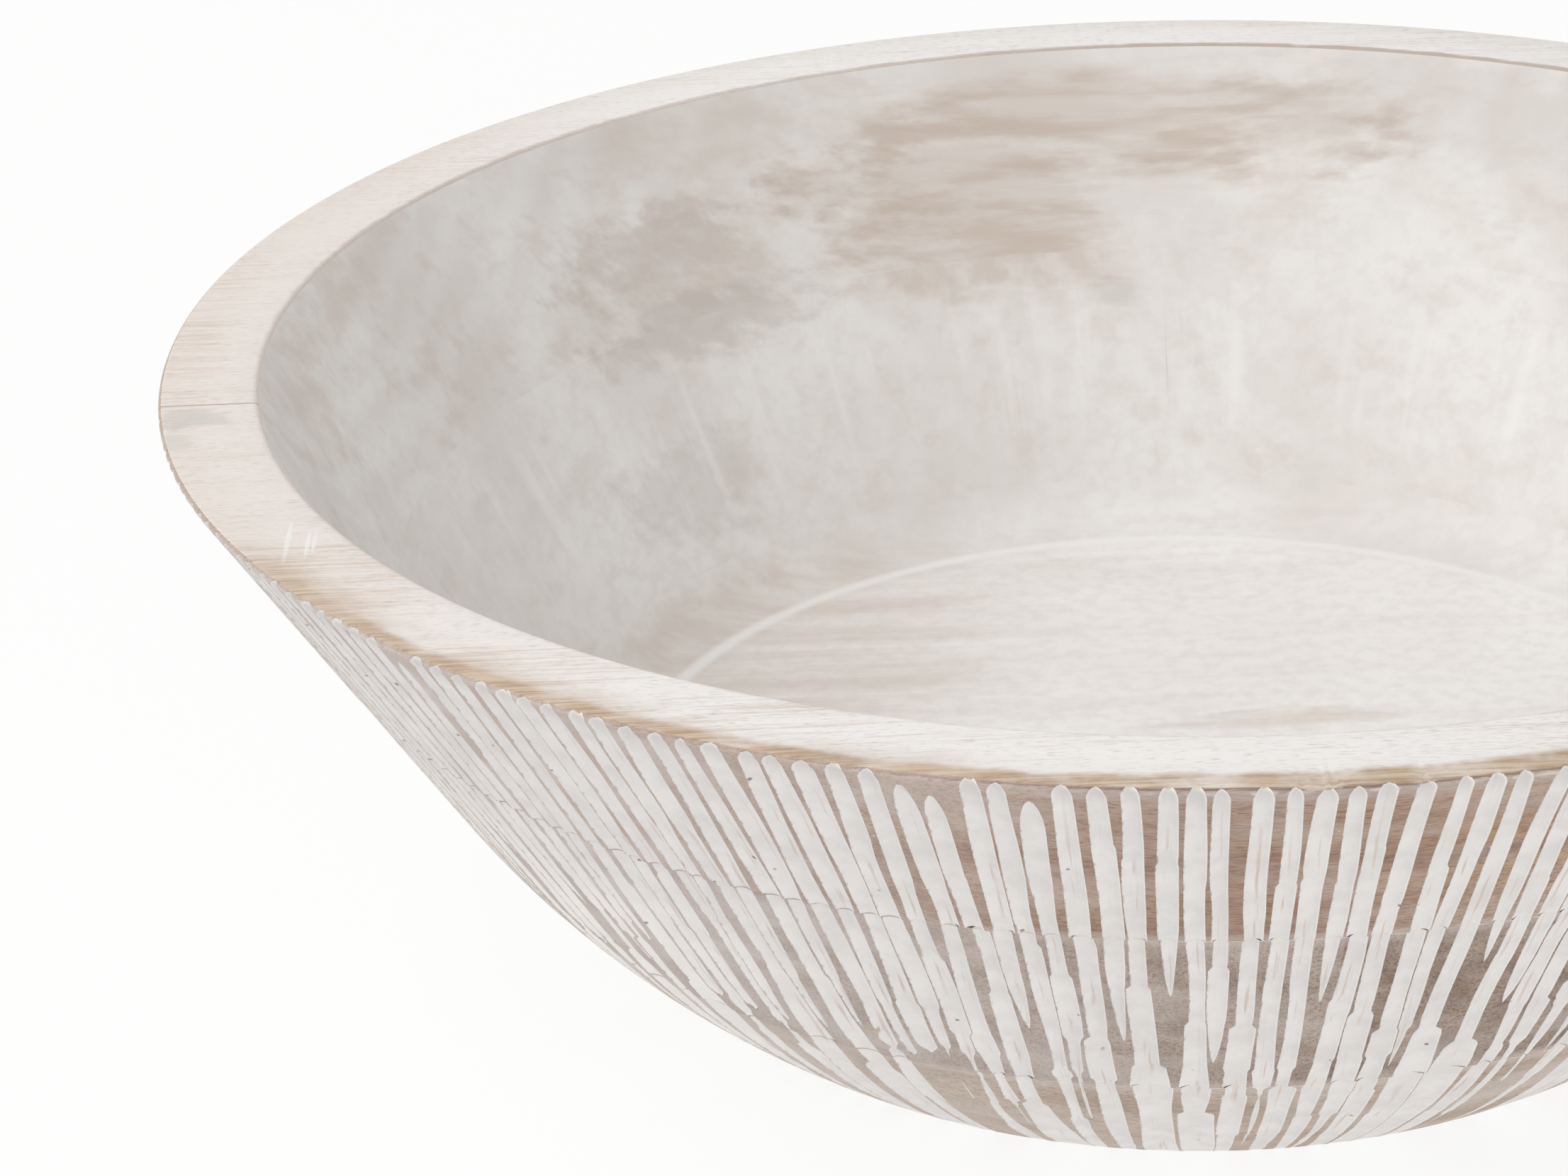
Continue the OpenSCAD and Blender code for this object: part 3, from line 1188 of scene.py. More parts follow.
@dataclass(frozen=True)
class CarvedFinish(Finish):
    """The outside: painted flutes between lands of bare wood, with painted shade and light on the flutes'
    tops and edges.

    Names that end in x, along or side are ramps over the place to the right, the distance along the
    outside and the place across a flute. Names that end in w are ramps over the distance from a line.
    """

    paint: str = "#e4e1de"
    paint_edge: Ramp = Ramp(-0.03, 0.1)
    paint_edge_noise: Noise = Noise(1.1, 3.0, 0.6)
    paint_edge_side: Ramp = Ramp(0.3, -0.5, 0.05, 0.2)
    paint_shade: str = "#d9d5d2"
    mottle: Cloud = Cloud(Noise(0.16, 4.0, 0.6), Ramp(0.3, 0.72))
    # Painted shade: a grey for the concave tops of the flutes
    top_shadow: str = "#c8c5c3"
    top_along: Ramp = Ramp(6.5, 1.2)
    top_cut: Ramp = Ramp(0.1, 0.7, 0.0, 0.6)
    # Painted light: a bright colour for the flutes' right edges and for flutes low on the left
    painted_light: str = "#f6f2ec"
    painted_light_side: Ramp = Ramp(0.4, 0.7, 0.0, 0.6)
    # Where flutes low on the left are painted paler, as painted light
    lit_low_along: Ramp = Ramp(40.0, 75.0)
    lit_low_x: Ramp = Ramp(-50.0, -105.0, 0.0, 0.5)
    streak: str = "#c9b5a7"
    streak_lane: Span = (3.7, 0.055)
    streak_broad: Cloud = Cloud(Noise(1.0, 1.0), Ramp(0.5, 0.62))
    streak_fine: Cloud = Cloud(Noise((1.0, 1.5, 3.4), 3.0), Ramp(0.48, 0.6))
    streak_middle: float = 0.05
    streak_w: Ramp = Ramp(0.42, 0.08, 0.0, 0.72)
    streak_along: Ramp = Ramp(6.0, 24.0, 0.25)
    flute_edge: Ramp = Ramp(0.34, 0.04)
    # Dark specks on the flutes' left edges: dark pits, and painted shade
    shade_dots: Cloud = Cloud(Noise(0.6), Ramp(0.52, 0.66))
    shade_dots_side: Ramp = Ramp(-0.4, -0.7, 0.0, 0.42)
    pit_scale: float = 0.34
    pit_share: float = 0.1
    pit_size: float = 0.13
    pit_strength: float = 0.75
    gold: str = "#bb9a70"
    gold_share: float = 0.0
    gold_cloud: Cloud = Cloud(Noise((0.02, 0.1, 0.16), 3.0, 0.6), Ramp(0.44, 0.62))
    gold_x: Ramp = Ramp(0.0, 45.0, 0.15)
    dashes: Cloud = LONG_DASHES
    dash_share: float = 0.5
    haze: str = "#cec5c0"
    haze_share: float = 0.3
    haze_cloud: Cloud = Cloud(Noise((0.03, 0.05, 0.09), 3.0, 0.6), Ramp(0.42, 0.68))
    haze_x: Ramp = Ramp(0.0, -135.0, 0.0, 0.64)
    haze_along: Ramp = Ramp(5.5, 1.4, 0.0, 0.5)
    haze_glue_w: Ramp = Ramp(2.8, 0.5, 0.0, 0.42)
    crumbs: Cloud = Cloud(Noise(0.9, 4.0, 0.7), Ramp(0.68, 0.73))
    crumb_places: Cloud = Cloud(Noise(0.06, 1.0), Ramp(0.5, 0.62))
    drip_line: float = 1.35
    drip_w: Ramp = Ramp(0.45, 0.1)
    drip_gaps: Cloud = Cloud(Noise(0.3, 3.0, 0.6), Ramp(0.46, 0.6))
    drip_x: Ramp = Ramp(-45.0, -5.0, 0.0, 0.65)
    band_end: float = 0.5
    band_soft: float = 0.25
    band_ragged: float = 1.2
    band_share: float = 0.9
    # A painted shadow just below the rubbed band at the rim's edge
    shadow_gap: float = 0.2
    shadow_w: Ramp = Ramp(0.3, 0.08)
    shadow_x: Ramp = Ramp(-80.0, -10.0, 0.2, 0.6)
    glue_lines: tuple[float, ...] = ()
    glue_light: str = "#e3d8ca"
    # The dark hue is the joint's own line, and on the left also painted shadow under the stepped joint
    glue_dark_and_shadow: str = "#97867a"
    glue_x: Ramp = Ramp(-70.0, -10.0)
    glue_w: Ramp = Ramp(0.2, 0.07, 0.0, 0.75)
    glue_gaps: Cloud = Cloud(Noise(0.35, 3.0, 0.6), Ramp(0.35, 0.55))
    torn: str = "#e2d8cb"
    torn_wear: Ramp = Ramp(0.25, 0.75)
    rough: Ramp = Ramp(0.0, 1.0, 0.58, 0.72)
    relief: Span = (0.55, 0.16)
    relief_pores: float = 0.8
    lumps: Noise = Noise(1.1, 3.0, 0.55)
    lump_share: float = 0.6
    pit_depth: float = 1.5

    def dress(self, on: Dressing) -> None:
        """Gives the shader its colour, roughness and relief."""
        cut, side, along = on.parts(on.attribute("carve", "Vector"))
        pits = on.effect(self.effects.small_pits, place=on.spot, scale=self.pit_scale,
                         share=self.pit_share, size=self.pit_size).outputs["Mask"]
        paint = self._paint(on, cut, side, along)
        paint = on.tint(paint, (on.times(pits, self.pit_strength), self.wood.pore))
        rough = on.ramp(side, self.paint_edge_side)
        uneven = on.swing(on.noise(on.spot, self.paint_edge_noise), rough)
        cover = on.ramp(on.plus(cut, uneven), self.paint_edge)
        shade = self._glue(on, on.mix(cover, self._land(on, along), paint))
        torn = on.mix(on.fibre, colour(self.edge_dark), colour(self.torn))
        shade = on.mix(on.ramp(on.attribute("wear"), self.torn_wear), shade, torn)
        on.coat(shade, on.ramp(cover, self.rough), self.gloss)
        lumps = on.times(on.noise(on.spot, self.lumps), self.lump_share)
        grain = on.less(on.fibre, on.times(on.pores, self.relief_pores))
        pitted = on.less(lumps, on.times(pits, self.pit_depth))
        height = on.add("Mix", {0: cover, 2: grain, 3: pitted}, data_type="FLOAT")
        on.bump(height.outputs[0], self.relief)

    def _land(self, on: Dressing, along: Socket) -> Socket:
        """Works out the lands, with leftover paint in places, the rubbed rim above them and a painted shadow
        just below the rim's band.

        Args:
            on: the material in the making.
            along: distance along the outside.

        Returns:
            The lands' colour.
        """
        spot, x = on.spot, on.x
        gold = on.times(on.cloud(spot, self.gold_cloud), on.ramp(x, self.gold_x), self.gold_share)
        dashes = on.times(on.cloud(spot, self.dashes), self.dash_share)
        haze = on.times(on.cloud(spot, self.haze_cloud), self.haze_share)
        haze = on.plus(haze, on.ramp(x, self.haze_x))
        haze = on.most(haze, on.ramp(along, self.haze_along))
        for line in self.glue_lines:
            haze = on.most(haze, on.ramp(on.away(on.height, line), self.haze_glue_w))
        crumbs = on.times(on.cloud(spot, self.crumbs), on.cloud(spot, self.crumb_places))
        drip = on.ramp(on.away(along, self.drip_line), self.drip_w)
        drip = on.times(drip, on.cloud(spot, self.drip_gaps), on.ramp(x, self.drip_x))
        ragged = on.plus(along, on.swing(on.fibre, self.band_ragged))
        # Painted shadow: a dark line just below the rubbed band, stronger on the right
        under = on.ramp(on.away(ragged, self.band_end + self.shadow_gap), self.shadow_w)
        under = on.times(under, on.ramp(x, self.shadow_x))
        pore = self.wood.pore
        land = on.tint(self.bare_wood(on), (gold, self.gold), (dashes, pore), (haze, self.haze),
                       (crumbs, self.paint), (drip, self.paint_shade), (under, pore))
        band = on.rise(ragged, self.band_end + self.band_soft, self.band_end - self.band_soft)
        return on.mix(on.times(band, self.band_share), land, self.rubbed_edge(on))

    def _glue(self, on: Dressing, shade: Socket) -> Socket:
        """Returns the colour with the hairlines of the glue: dark on the left, partly as painted shadow under
        the stepped joint, and pale on the right.
        """
        # The dark hue on the left is partly the joint's own colour, partly painted shadow under the stepped
        # joint
        hue = on.mix(on.ramp(on.x, self.glue_x), colour(self.glue_dark_and_shadow), colour(self.glue_light))
        gaps = on.cloud(on.spot, self.glue_gaps)
        for line in self.glue_lines:
            hairline = on.ramp(on.away(on.height, line), self.glue_w)
            shade = on.mix(on.times(hairline, gaps), shade, hue)
        return shade

    def _paint(self, on: Dressing, cut: Socket, side: Socket, along: Socket) -> Socket:
        """Works out the paint in the flutes, with painted shade in their tops and along their left edges, and
        painted light along their right edges and low on the left.

        Args:
            on: the material in the making.
            cut: distance in from the flute's edge.
            side: place across the flute.
            along: distance along the outside.

        Returns:
            The paint's colour.
        """
        spot = on.spot
        mottle = on.cloud(spot, self.mottle)
        # Painted shade in the concave tops of the flutes, where the gouge goes in
        begun = on.times(on.ramp(along, self.top_along), on.ramp(cut, self.top_cut))
        # Painted light: flutes low on the left are paler, where more light falls from the left
        low = on.times(on.ramp(along, self.lit_low_along), on.ramp(on.x, self.lit_low_x))
        flute_step, along_step = self.streak_lane
        flute = on.times(on.attribute("flute"), flute_step)
        lane = on.join(flute, on.times(along, along_step), side)
        streak = on.times(on.cloud(lane, self.streak_broad), on.cloud(lane, self.streak_fine))
        middle = on.ramp(on.away(side, self.streak_middle), self.streak_w)
        streak = on.times(streak, middle, on.ramp(along, self.streak_along))
        edge = on.ramp(cut, self.flute_edge)
        # Dark specks along each flute's left edge: dark pits, and painted shade where the wall faces away
        # from the light
        shade_dots = on.times(edge, on.cloud(spot, self.shade_dots), on.ramp(side, self.shade_dots_side))
        # Painted highlight: a bright line along each flute's right edge, where the wall faces the light
        painted_light = on.times(edge, on.ramp(side, self.painted_light_side))
        return on.tint(
            colour(self.paint), (mottle, self.paint_shade), (begun, self.top_shadow), (low, self.painted_light),
            (streak, self.streak), (shade_dots, self.wood.pore), (painted_light, self.painted_light),
        )


@dataclass(frozen=True)
class RimFinish(Finish):
    """The flat top of the rim: whitewash with fine grain, rubbed bare along its outer edge.

    Names that end in x, r and way are ramps over the place to the right, the distance from the axis
    and the way that the rim faces. Names that end in w are ramps over the distance from a line.
    """

    paint: str = "#edeae7"
    cover: Cloud = Cloud(Noise((0.02, 0.07, 0.07), 3.0, 0.6), Ramp(0.3, 0.7, 0.8, 1.02))
    streak: float = 2.4
    pore_tint: float = 0.25
    tan: str = "#d5c4b6"
    tan_patches: tuple[Patch, ...] = ()
    tan_share: float = 0.28
    tan_x: Ramp = Ramp(-70.0, -160.0, 0.0, 0.36)
    stain: str = "#c6c1bc"
    stain_patches: tuple[Patch, ...] = ()
    stain_scale: Point = (0.16, 0.3, 0.2)
    stain_share: float = 0.6
    scratches: tuple[Patch, ...] = ()
    scratch_scale: Point = (0.3, 0.3, 0.3)
    uneven: Noise = Noise(0.11, 3.0, 0.6)
    uneven_by: float = 6.0
    fibre_by: float = 3.0
    edge_patches: tuple[Patch, ...] = ()
    edge_shares: Span = (0.1, 0.62)
    edge_r: Ramp = Ramp(165.0, 174.0)
    band_r: Ramp = Ramp(169.3, 171.3)
    band_uneven: float = 0.36
    band_inset_x: Ramp = Ramp(-12.0, -46.0, 0.0, 1.6)
    band_way: Ramp = Ramp(-0.4, -0.72)
    band_gaps: Ramp = Ramp(-1.5, 1.0, 0.35)
    lip: str = "#b8aa9d"
    lip_noise: Noise = Noise((0.12, 0.3, 0.3), 3.0)
    lip_noise_by: float = 1.6
    lip_r: Ramp = Ramp(160.4, 159.3)
    lip_way: Ramp = Ramp(-0.2, 0.6, 0.4, 0.95)
    lip_x: Ramp = Ramp(-90.0, 20.0, 0.6)
    seam: str = "#a8988a"
    seam_y: float = 0.0
    seam_w: Ramp = Ramp(0.32, 0.1, 0.0, 0.8)
    rough: Ramp = Ramp(0.0, 1.0, 0.52, 0.64)
    relief: Span = (0.45, 0.12)
    relief_pores: float = 0.7

    def dress(self, on: Dressing) -> None:
        """Gives the shader its colour, roughness and relief."""
        bared = on.times(self.masks(on, self.tan_patches), self.tan_share)
        cover = on.less(on.cloud(on.spot, self.cover), bared)
        wash = on.effect(self.effects.whitewash, wood=colour(self.tan), paint=colour(self.paint),
                         cover=cover, fibre=on.fibre, streak=self.streak)
        stain = on.times(self.masks(on, self.stain_patches, self.stain_scale), self.stain_share)
        shade = on.tint(
            wash.outputs["Color"], (on.times(on.pores, self.pore_tint), self.wood.pore),
            (on.ramp(on.x, self.tan_x), self.tan), (stain, self.stain),
            (self.masks(on, self.scratches, self.scratch_scale), self.paint),
        )
        on.coat(self._edges(on, shade), on.ramp(wash.outputs["Mask"], self.rough), self.gloss)
        on.bump(on.less(on.fibre, on.times(on.pores, self.relief_pores)), self.relief)

    def _edges(self, on: Dressing, shade: Socket) -> Socket:
        """Returns the colour with the rubbed outer edge, the darker lip and the seam between the boards."""
        facing = on.parts(on.way)[1]
        uneven = on.swing(on.noise(on.spot, self.uneven), self.uneven_by)
        fine = on.swing(on.fibre, self.fibre_by)
        outward = on.plus(on.radius, on.plus(uneven, fine))
        least, more = self.edge_shares
        worn = on.plus(on.times(self.masks(on, self.edge_patches), more), least)
        rubbed = self.rubbed_edge(on)
        shade = on.mix(on.times(on.ramp(outward, self.edge_r), worn), shade, rubbed)
        torn = on.plus(on.radius, on.plus(fine, on.times(uneven, self.band_uneven)))
        band = on.ramp(on.less(torn, on.ramp(on.x, self.band_inset_x)), self.band_r)
        band = on.times(band, on.ramp(facing, self.band_way), on.ramp(uneven, self.band_gaps))
        shade = on.mix(band, shade, rubbed)
        rough = on.plus(on.radius, on.times(on.noise(on.spot, self.lip_noise), self.lip_noise_by))
        lip = on.times(on.ramp(rough, self.lip_r), on.ramp(facing, self.lip_way),
                       on.ramp(on.x, self.lip_x))
        seam = on.ramp(on.away(on.y, self.seam_y), self.seam_w)
        return on.tint(shade, (lip, self.lip), (seam, self.seam))


@dataclass(frozen=True)
class InsideFinish(Finish):
    """The turned inside: a smooth grey-beige wash, rubbed through to the wood in streaks, with painted
    highlights where the floor's ridge catches the light, where given.
    """

    wash: str = "#e7e5e1"
    wash_grey: str = "#d7d2cd"
    clouds: Cloud = Cloud(Noise(0.02, 4.0, 0.55), Ramp(0.32, 0.72))
    specks: Cloud = Cloud(Noise(0.3, 3.0, 0.6), Ramp(0.4, 0.66, 0.0, 0.3))
    floor_wash: str = "#f3f0ed"
    low_height: Ramp = Ramp(86.0, 62.0, 0.0, 0.2)
    floor_r: float = 0.0
    floor_edge: Span = (2.0, -6.0)
    floor_share: float = 0.6
    rubbed: str = "#c2b1a4"
    ring_share: float = 0.12
    rub_patches: tuple[Patch, ...] = ()
    rub_streaks: Noise = Noise((0.016, 0.17, 0.2), 4.0, 0.62)
    rub_strong: Ramp = Ramp(0.34, 0.62, 0.35)
    rub_strength: float = 0.85
    rub_faint: Ramp = Ramp(0.38, 0.62)
    rub_band: Ramp = Ramp(0.45, 0.95)
    rub_share: float = 0.15
    smudge: str = "#b9b0ab"
    smudge_patches: tuple[Patch, ...] = ()
    smudge_share: float = 0.75
    pale: str = "#f1efec"
    wipe_share: float = 0.0
    wipe_marks: Cloud = Cloud(Noise(1.0, 3.0, 0.6), Ramp(0.5, 0.7))
    wipe_round: float = 22.0
    wipe_up: float = 0.012
    wipe_start: Ramp = Ramp(33.0, 46.0)
    wipe_end: Ramp = Ramp(70.0, 58.0)
    # Pale rings painted as highlight where the floor's ridge catches the light
    ridge_highlights: tuple[Span, ...] = ()
    highlight_core: float = 0.2
    highlight_share: float = 0.75
    rough: Ramp = Ramp(0.0, 1.0, 0.6, 0.5)
    relief: Span = (0.2, 0.08)

    def dress(self, on: Dressing) -> None:
        """Gives the shader its colour, roughness and relief."""
        clouds, specks = on.cloud(on.spot, self.clouds), on.cloud(on.spot, self.specks)
        edge, inner = (self.floor_r + offset for offset in self.floor_edge)
        floor = on.rise(on.radius, edge, inner, 0.0, self.floor_share)
        smudge = on.times(self.masks(on, self.smudge_patches), self.smudge_share)
        shade = on.tint(
            colour(self.wash), (clouds, self.wash_grey),
            (on.ramp(on.height, self.low_height), self.floor_wash), (floor, self.floor_wash),
            (specks, self.wash_grey), (on.times(on.ring, self.ring_share), self.rubbed),
            (self._rub(on), self.rubbed), (smudge, self.smudge), (self._wipe(on), self.pale),
        )
        # Painted highlight: pale rings where the small ridge at the floor's edge catches the light
        for radius, width in self.ridge_highlights:
            away = on.away(on.radius, radius)
            ring = on.rise(away, width, self.highlight_core * width, 0.0, self.highlight_share)
            shade = on.tint(shade, (ring, self.pale))
        on.coat(shade, on.ramp(clouds, self.rough), self.gloss)
        on.bump(on.plus(on.fibre, specks), self.relief)

    def _rub(self, on: Dressing) -> Socket:
        """Returns where the wash is rubbed through: a little all over, and in streaks in some places."""
        streak = on.noise(on.turned(on.spot, self.wood.way.value), self.rub_streaks)
        strong = on.times(on.ramp(streak, self.rub_strong), self.masks(on, self.rub_patches))
        faint = on.times(on.ramp(on.band, self.rub_band), self.rub_share)
        faint = on.times(faint, on.ramp(streak, self.rub_faint))
        return on.most(on.times(strong, self.rub_strength), faint)

    def _wipe(self, on: Dressing) -> Socket:
        """Returns pale marks of wiping that run up the wall."""
        x, y, _ = on.parts(on.way)
        lane = on.join(on.times(x, self.wipe_round), on.times(y, self.wipe_round),
                       on.times(on.height, self.wipe_up))
        middle = on.times(on.ramp(on.height, self.wipe_start), on.ramp(on.height, self.wipe_end))
        return on.times(on.cloud(lane, self.wipe_marks), middle, self.wipe_share)


@dataclass(frozen=True)
class FootFinish(Finish):
    """The foot: sanded wood with a thin wash and the fine rings of the lathe."""

    paint: str = "#ddd5cc"
    cover: Cloud = Cloud(Noise(0.025, 4.0, 0.6), Ramp(0.35, 0.7, 0.25, 0.7))
    streak: float = 2.0
    tool_pitch: float = 0.9
    tool_depth: float = 0.12
    rough: Ramp = Ramp(0.3, 0.7, 0.58, 0.7)
    gloss: float = 0.5
    relief: Span = (0.35, 0.12)

    def dress(self, on: Dressing) -> None:
        """Gives the shader its colour, roughness and relief."""
        wash = on.effect(self.effects.whitewash, wood=self.bare_wood(on), paint=colour(self.paint),
                         cover=on.cloud(on.spot, self.cover), fibre=on.fibre, streak=self.streak)
        on.coat(wash.outputs["Color"], on.ramp(on.fibre, self.rough), self.gloss)
        rings = on.math("SINE", on.times(on.radius, FULL_TURN / self.tool_pitch))
        on.bump(on.plus(on.fibre, on.times(rings, self.tool_depth)), self.relief)


@dataclass(frozen=True)
class GluedFinish(Finish):
    """The planed faces that are glued together."""

    rough: Ramp = Ramp(0.3, 0.7, 0.6, 0.7)
    gloss: float = 0.5

    def dress(self, on: Dressing) -> None:
        """Gives the shader its colour, roughness and relief."""
        on.coat(self.bare_wood(on), on.ramp(on.fibre, self.rough), self.gloss)
        on.bump(on.fibre, self.relief)


@dataclass(frozen=True)
class Board:
    """One board of a layer: its node, its side of the edge joint and its finishes."""

    node: str
    side: Side
    finishes: dict[Zone, Finish]


def read(items: bpy.types.bpy_prop_collection, name: str, width: int = 1, kind: type = float) -> Array:
    """Reads one property of all items of a mesh.

    Args:
        items: the mesh's points, faces or corners.
        name: the property.
        width: how many numbers it has.
        kind: what kind of numbers they are.

    Returns:
        The numbers, with a row for each item where it has several.
    """
    values = np.zeros(len(items) * width, kind)
    items.foreach_get(name, values)
    return values.reshape(-1, width) if width > 1 else values


@dataclass
class BoardLayer:
    """A layer of two boards, glued edge to edge and turned together.

    The slot, the record's one for its wood, is not used. The joint_axis is 0 where the edge joint is a plane
    of one
    X, and 1 where it is one of one Y. Layers are numbered from the rim down. In a closed one, the last
    ring of the section joins the first.
    """

    form: BowlForm
    fluting: Fluting
    name: str
    slot: str
    boards: tuple[Board, Board]
    joint_axis: int
    number: int = 0
    closed: bool = True
    # Distances between the rings of the outside, which are closer at both ends
    row_step: float = 1.25
    end_rows: tuple[float, ...] = (0.15, 0.45, 0.9)
    end_run: float = 1.6
    inner_steps: int = 3
    # What is noted for the cut off the outside, and how near things count as meeting
    off_cut: float = -5.0
    axis_near: float = 0.01
    merge_near: float = 0.0001
    joint_near: float = 0.01
    joint_square: float = 0.999
    smooth_angle: float = math.radians(36)
    # Start and size of the places on the map for baking
    map_joint: Span = (0.95, 0.05)
    map_across: Span = (0.5, 0.48)
    map_turn: Span = (0.01, 0.46)
    map_girth: Span = (0.01, 0.98)
    slot_of_glue: int = field(init=False)

    def rows(self) -> list[Row]:
        """Returns the rings of the layer's section, in order round it."""
        raise NotImplementedError

    @property
    def joint_at(self) -> float:
        """The place of the edge joint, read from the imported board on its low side."""
        low_board = next(b for b in self.boards if b.side is Side.LOW)
        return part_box(low_board.node)[1][self.joint_axis] / MM

    def outside_rows(self, high: float, low: float) -> list[Row]:
        """Returns rings of the outside from a lower place up to a higher one, close together at both ends."""
        count = max(3, round((low - high) / self.row_step))
        eased = np.array(self.end_rows)
        even = np.linspace(high + self.end_run, low - self.end_run, count)
        places = np.concatenate([[high], high + eased, even, low - eased[::-1], [low]])
        return [self.fluting.meridian.at(float(a), Zone.CARVED) for a in places[::-1]]

    def build(self) -> list[Thing]:
        """Turns, carves and parts the layer, and dresses its boards.

        Returns:
            The two boards' objects.
        """
        rows = self.rows()
        blank = self.turn_blank(rows)
        self.carve(blank, rows)
        self.mark_zones(blank, rows)
        self.close(blank, rows)
        pieces = [self.part(blank, board) for board in self.boards]
        bpy.data.objects.remove(blank)
        return pieces

    def turn_blank(self, rows: list[Row]) -> Thing:
        """Draws the section by extruding a point, and sweeps it round the axis.

        Args:
            rows: the rings of the section.

        Returns:
            The turned blank, one column of points after another.
        """
        deselect_all()
        bpy.ops.mesh.primitive_plane_add(size=MM, location=(0, 0, 0))
        blank = bpy.context.object
        blank.name = f"{self.name}_blank"
        enter("EDIT")
        bpy.ops.mesh.select_all(action="SELECT")
        bpy.ops.mesh.merge(type="CENTER")
        # A fresh edit session forgets the plane's spare points, so that the new points are numbered in order
        enter("OBJECT")
        enter("EDIT")
        bpy.ops.transform.translate(value=(rows[0].radius * MM, 0, rows[0].height * MM))
        for before, after in zip(rows, rows[1:]):
            step = ((after.radius - before.radius) * MM, 0, (after.height - before.height) * MM)
            bpy.ops.mesh.extrude_region_move(TRANSFORM_OT_translate={"value": step})
        enter("OBJECT")
        if self.closed:
            ends = (0, len(rows) - 1)
            for vertex in blank.data.vertices:
                vertex.select = vertex.index in ends
            enter("EDIT")
            bpy.ops.mesh.edge_face_add()
            enter("OBJECT")
        bpy.ops.object.modifier_add(type="SCREW")
        sweep = blank.modifiers[-1]
        sweep.axis, sweep.angle = "Z", FULL_TURN
        sweep.steps = sweep.render_steps = self.fluting.columns
        sweep.use_merge_vertices = False
        bpy.ops.object.modifier_apply(modifier=sweep.name)
        return blank

    def carve(self, blank: Thing, rows: list[Row]) -> None:
        """Moves the blank's points onto the carved form, and notes the carving on them.

        Args:
            blank: the turned blank.
            rows: the rings of the section.
        """
        columns = self.fluting.columns
        outside = [i for i, row in enumerate(rows) if row.along is not None]
        along = np.array([rows[i].along for i in outside])
        carved = self.fluting.carve(along, self.number)
        turn = np.tile(np.arange(columns) * FULL_TURN / columns, (len(rows), 1))
        turn[outside] = carved.turn
        self.ease_columns(turn, rows, outside)
        depth, wear, flute = (np.zeros(turn.shape) for _ in range(3))
        depth[outside], wear[outside], flute[outside] = carved.depth, carved.wear, carved.flute
        note = np.zeros(turn.shape + (3,))
        note[..., 0] = self.off_cut
        for part, values in enumerate((carved.cut, carved.side, along[:, None])):
            note[outside, :, part] = values
        turned = np.array([(row.radius, row.height) for row in rows])[:, :, None]
        out = np.array([row.out for row in rows])[:, :, None]
        radius, height = (turned - depth[:, None] * out).transpose(1, 0, 2)
        place = np.stack([radius * np.cos(turn), radius * np.sin(turn), height], -1) * MM
        mesh = blank.data
        mesh.vertices.foreach_set("co", place.transpose(1, 0, 2).astype(np.float32).ravel())
        for name, kind, key, values in (
            ("carve", "FLOAT_VECTOR", "vector", note),
            ("flute", "FLOAT", "value", flute[..., None]),
            ("wear", "FLOAT", "value", wear[..., None]),
            ("girth", "FLOAT", "value", self.girth(rows, columns)),
        ):
            layer = mesh.attributes.new(name, kind, "POINT")
            layer.data.foreach_set(key, values.transpose(1, 0, 2).astype(np.float32).ravel())
        mesh.update()

    @staticmethod
    def girth(rows: list[Row], columns: int) -> Array:
        """Returns the distance round the section at each ring, as a share of the whole way."""
        place = np.array([(r.radius, r.height) for r in rows])
        steps = np.linalg.norm(np.diff(place, axis=0, append=place[:1]), axis=1)
        share = np.concatenate([[0.0], np.cumsum(steps)[:-1]]) / steps.sum()
        return np.tile(share[:, None, None], (1, columns, 1))

    @staticmethod
    def ease_columns(turn: Array, rows: list[Row], outside: list[int]) -> None:
        """Leads the columns of the rim and the foot over from the carving to an even spacing, in place."""
        plain = [i for i, row in enumerate(rows) if row.along is None]
        rim = [i for i in plain if rows[i].zone is Zone.RIM]
        foot = [i for i in plain if rows[i].zone is Zone.FOOT][::-1]
        for rings, carved in ((rim, outside[-1]), (foot, outside[0])):
            for step, index in enumerate(rings):
                share = (step + (rings is rim)) / len(rings)
                turn[index] = (1 - share) * turn[carved] + share * turn[index]

    def mark_zones(self, blank: Thing, rows: list[Row]) -> None:
        """Gives each band of faces the slot of its zone.

        Args:
            blank: the carved blank.
            rows: the rings of the section.
        """
        mesh = blank.data
        ring = read(mesh.loops, "vertex_index", kind=np.int32).reshape(len(mesh.polygons), 4) % len(rows)
        low, high = ring.min(1), ring.max(1)
        band = np.where((high - low) > 1, high, low)
        zones = list(self.boards[0].finishes)
        slots = np.array([zones.index(row.zone) for row in rows], np.int32)
        mesh.polygons.foreach_set("material_index", slots[band])
        self.slot_of_glue = zones.index(Zone.GLUED)
        for _ in zones:
            mesh.materials.append(None)

    def close(self, blank: Thing, rows: list[Row]) -> None:
        """Merges the points that meet on the axis, and points all faces outwards."""
        pick(blank)
        on_axis = [i for i, row in enumerate(rows) if row.radius == 0]
        flags = np.isin(np.arange(len(blank.data.vertices)) % len(rows), on_axis)
        enter("EDIT")
        bpy.ops.mesh.select_all(action="DESELECT")
        enter("OBJECT")
        blank.data.vertices.foreach_set("select", flags)
        enter("EDIT")
        bpy.ops.mesh.remove_doubles(threshold=self.merge_near * MM)
        bpy.ops.mesh.select_all(action="SELECT")
        bpy.ops.mesh.normals_make_consistent(inside=False)
        enter("OBJECT")

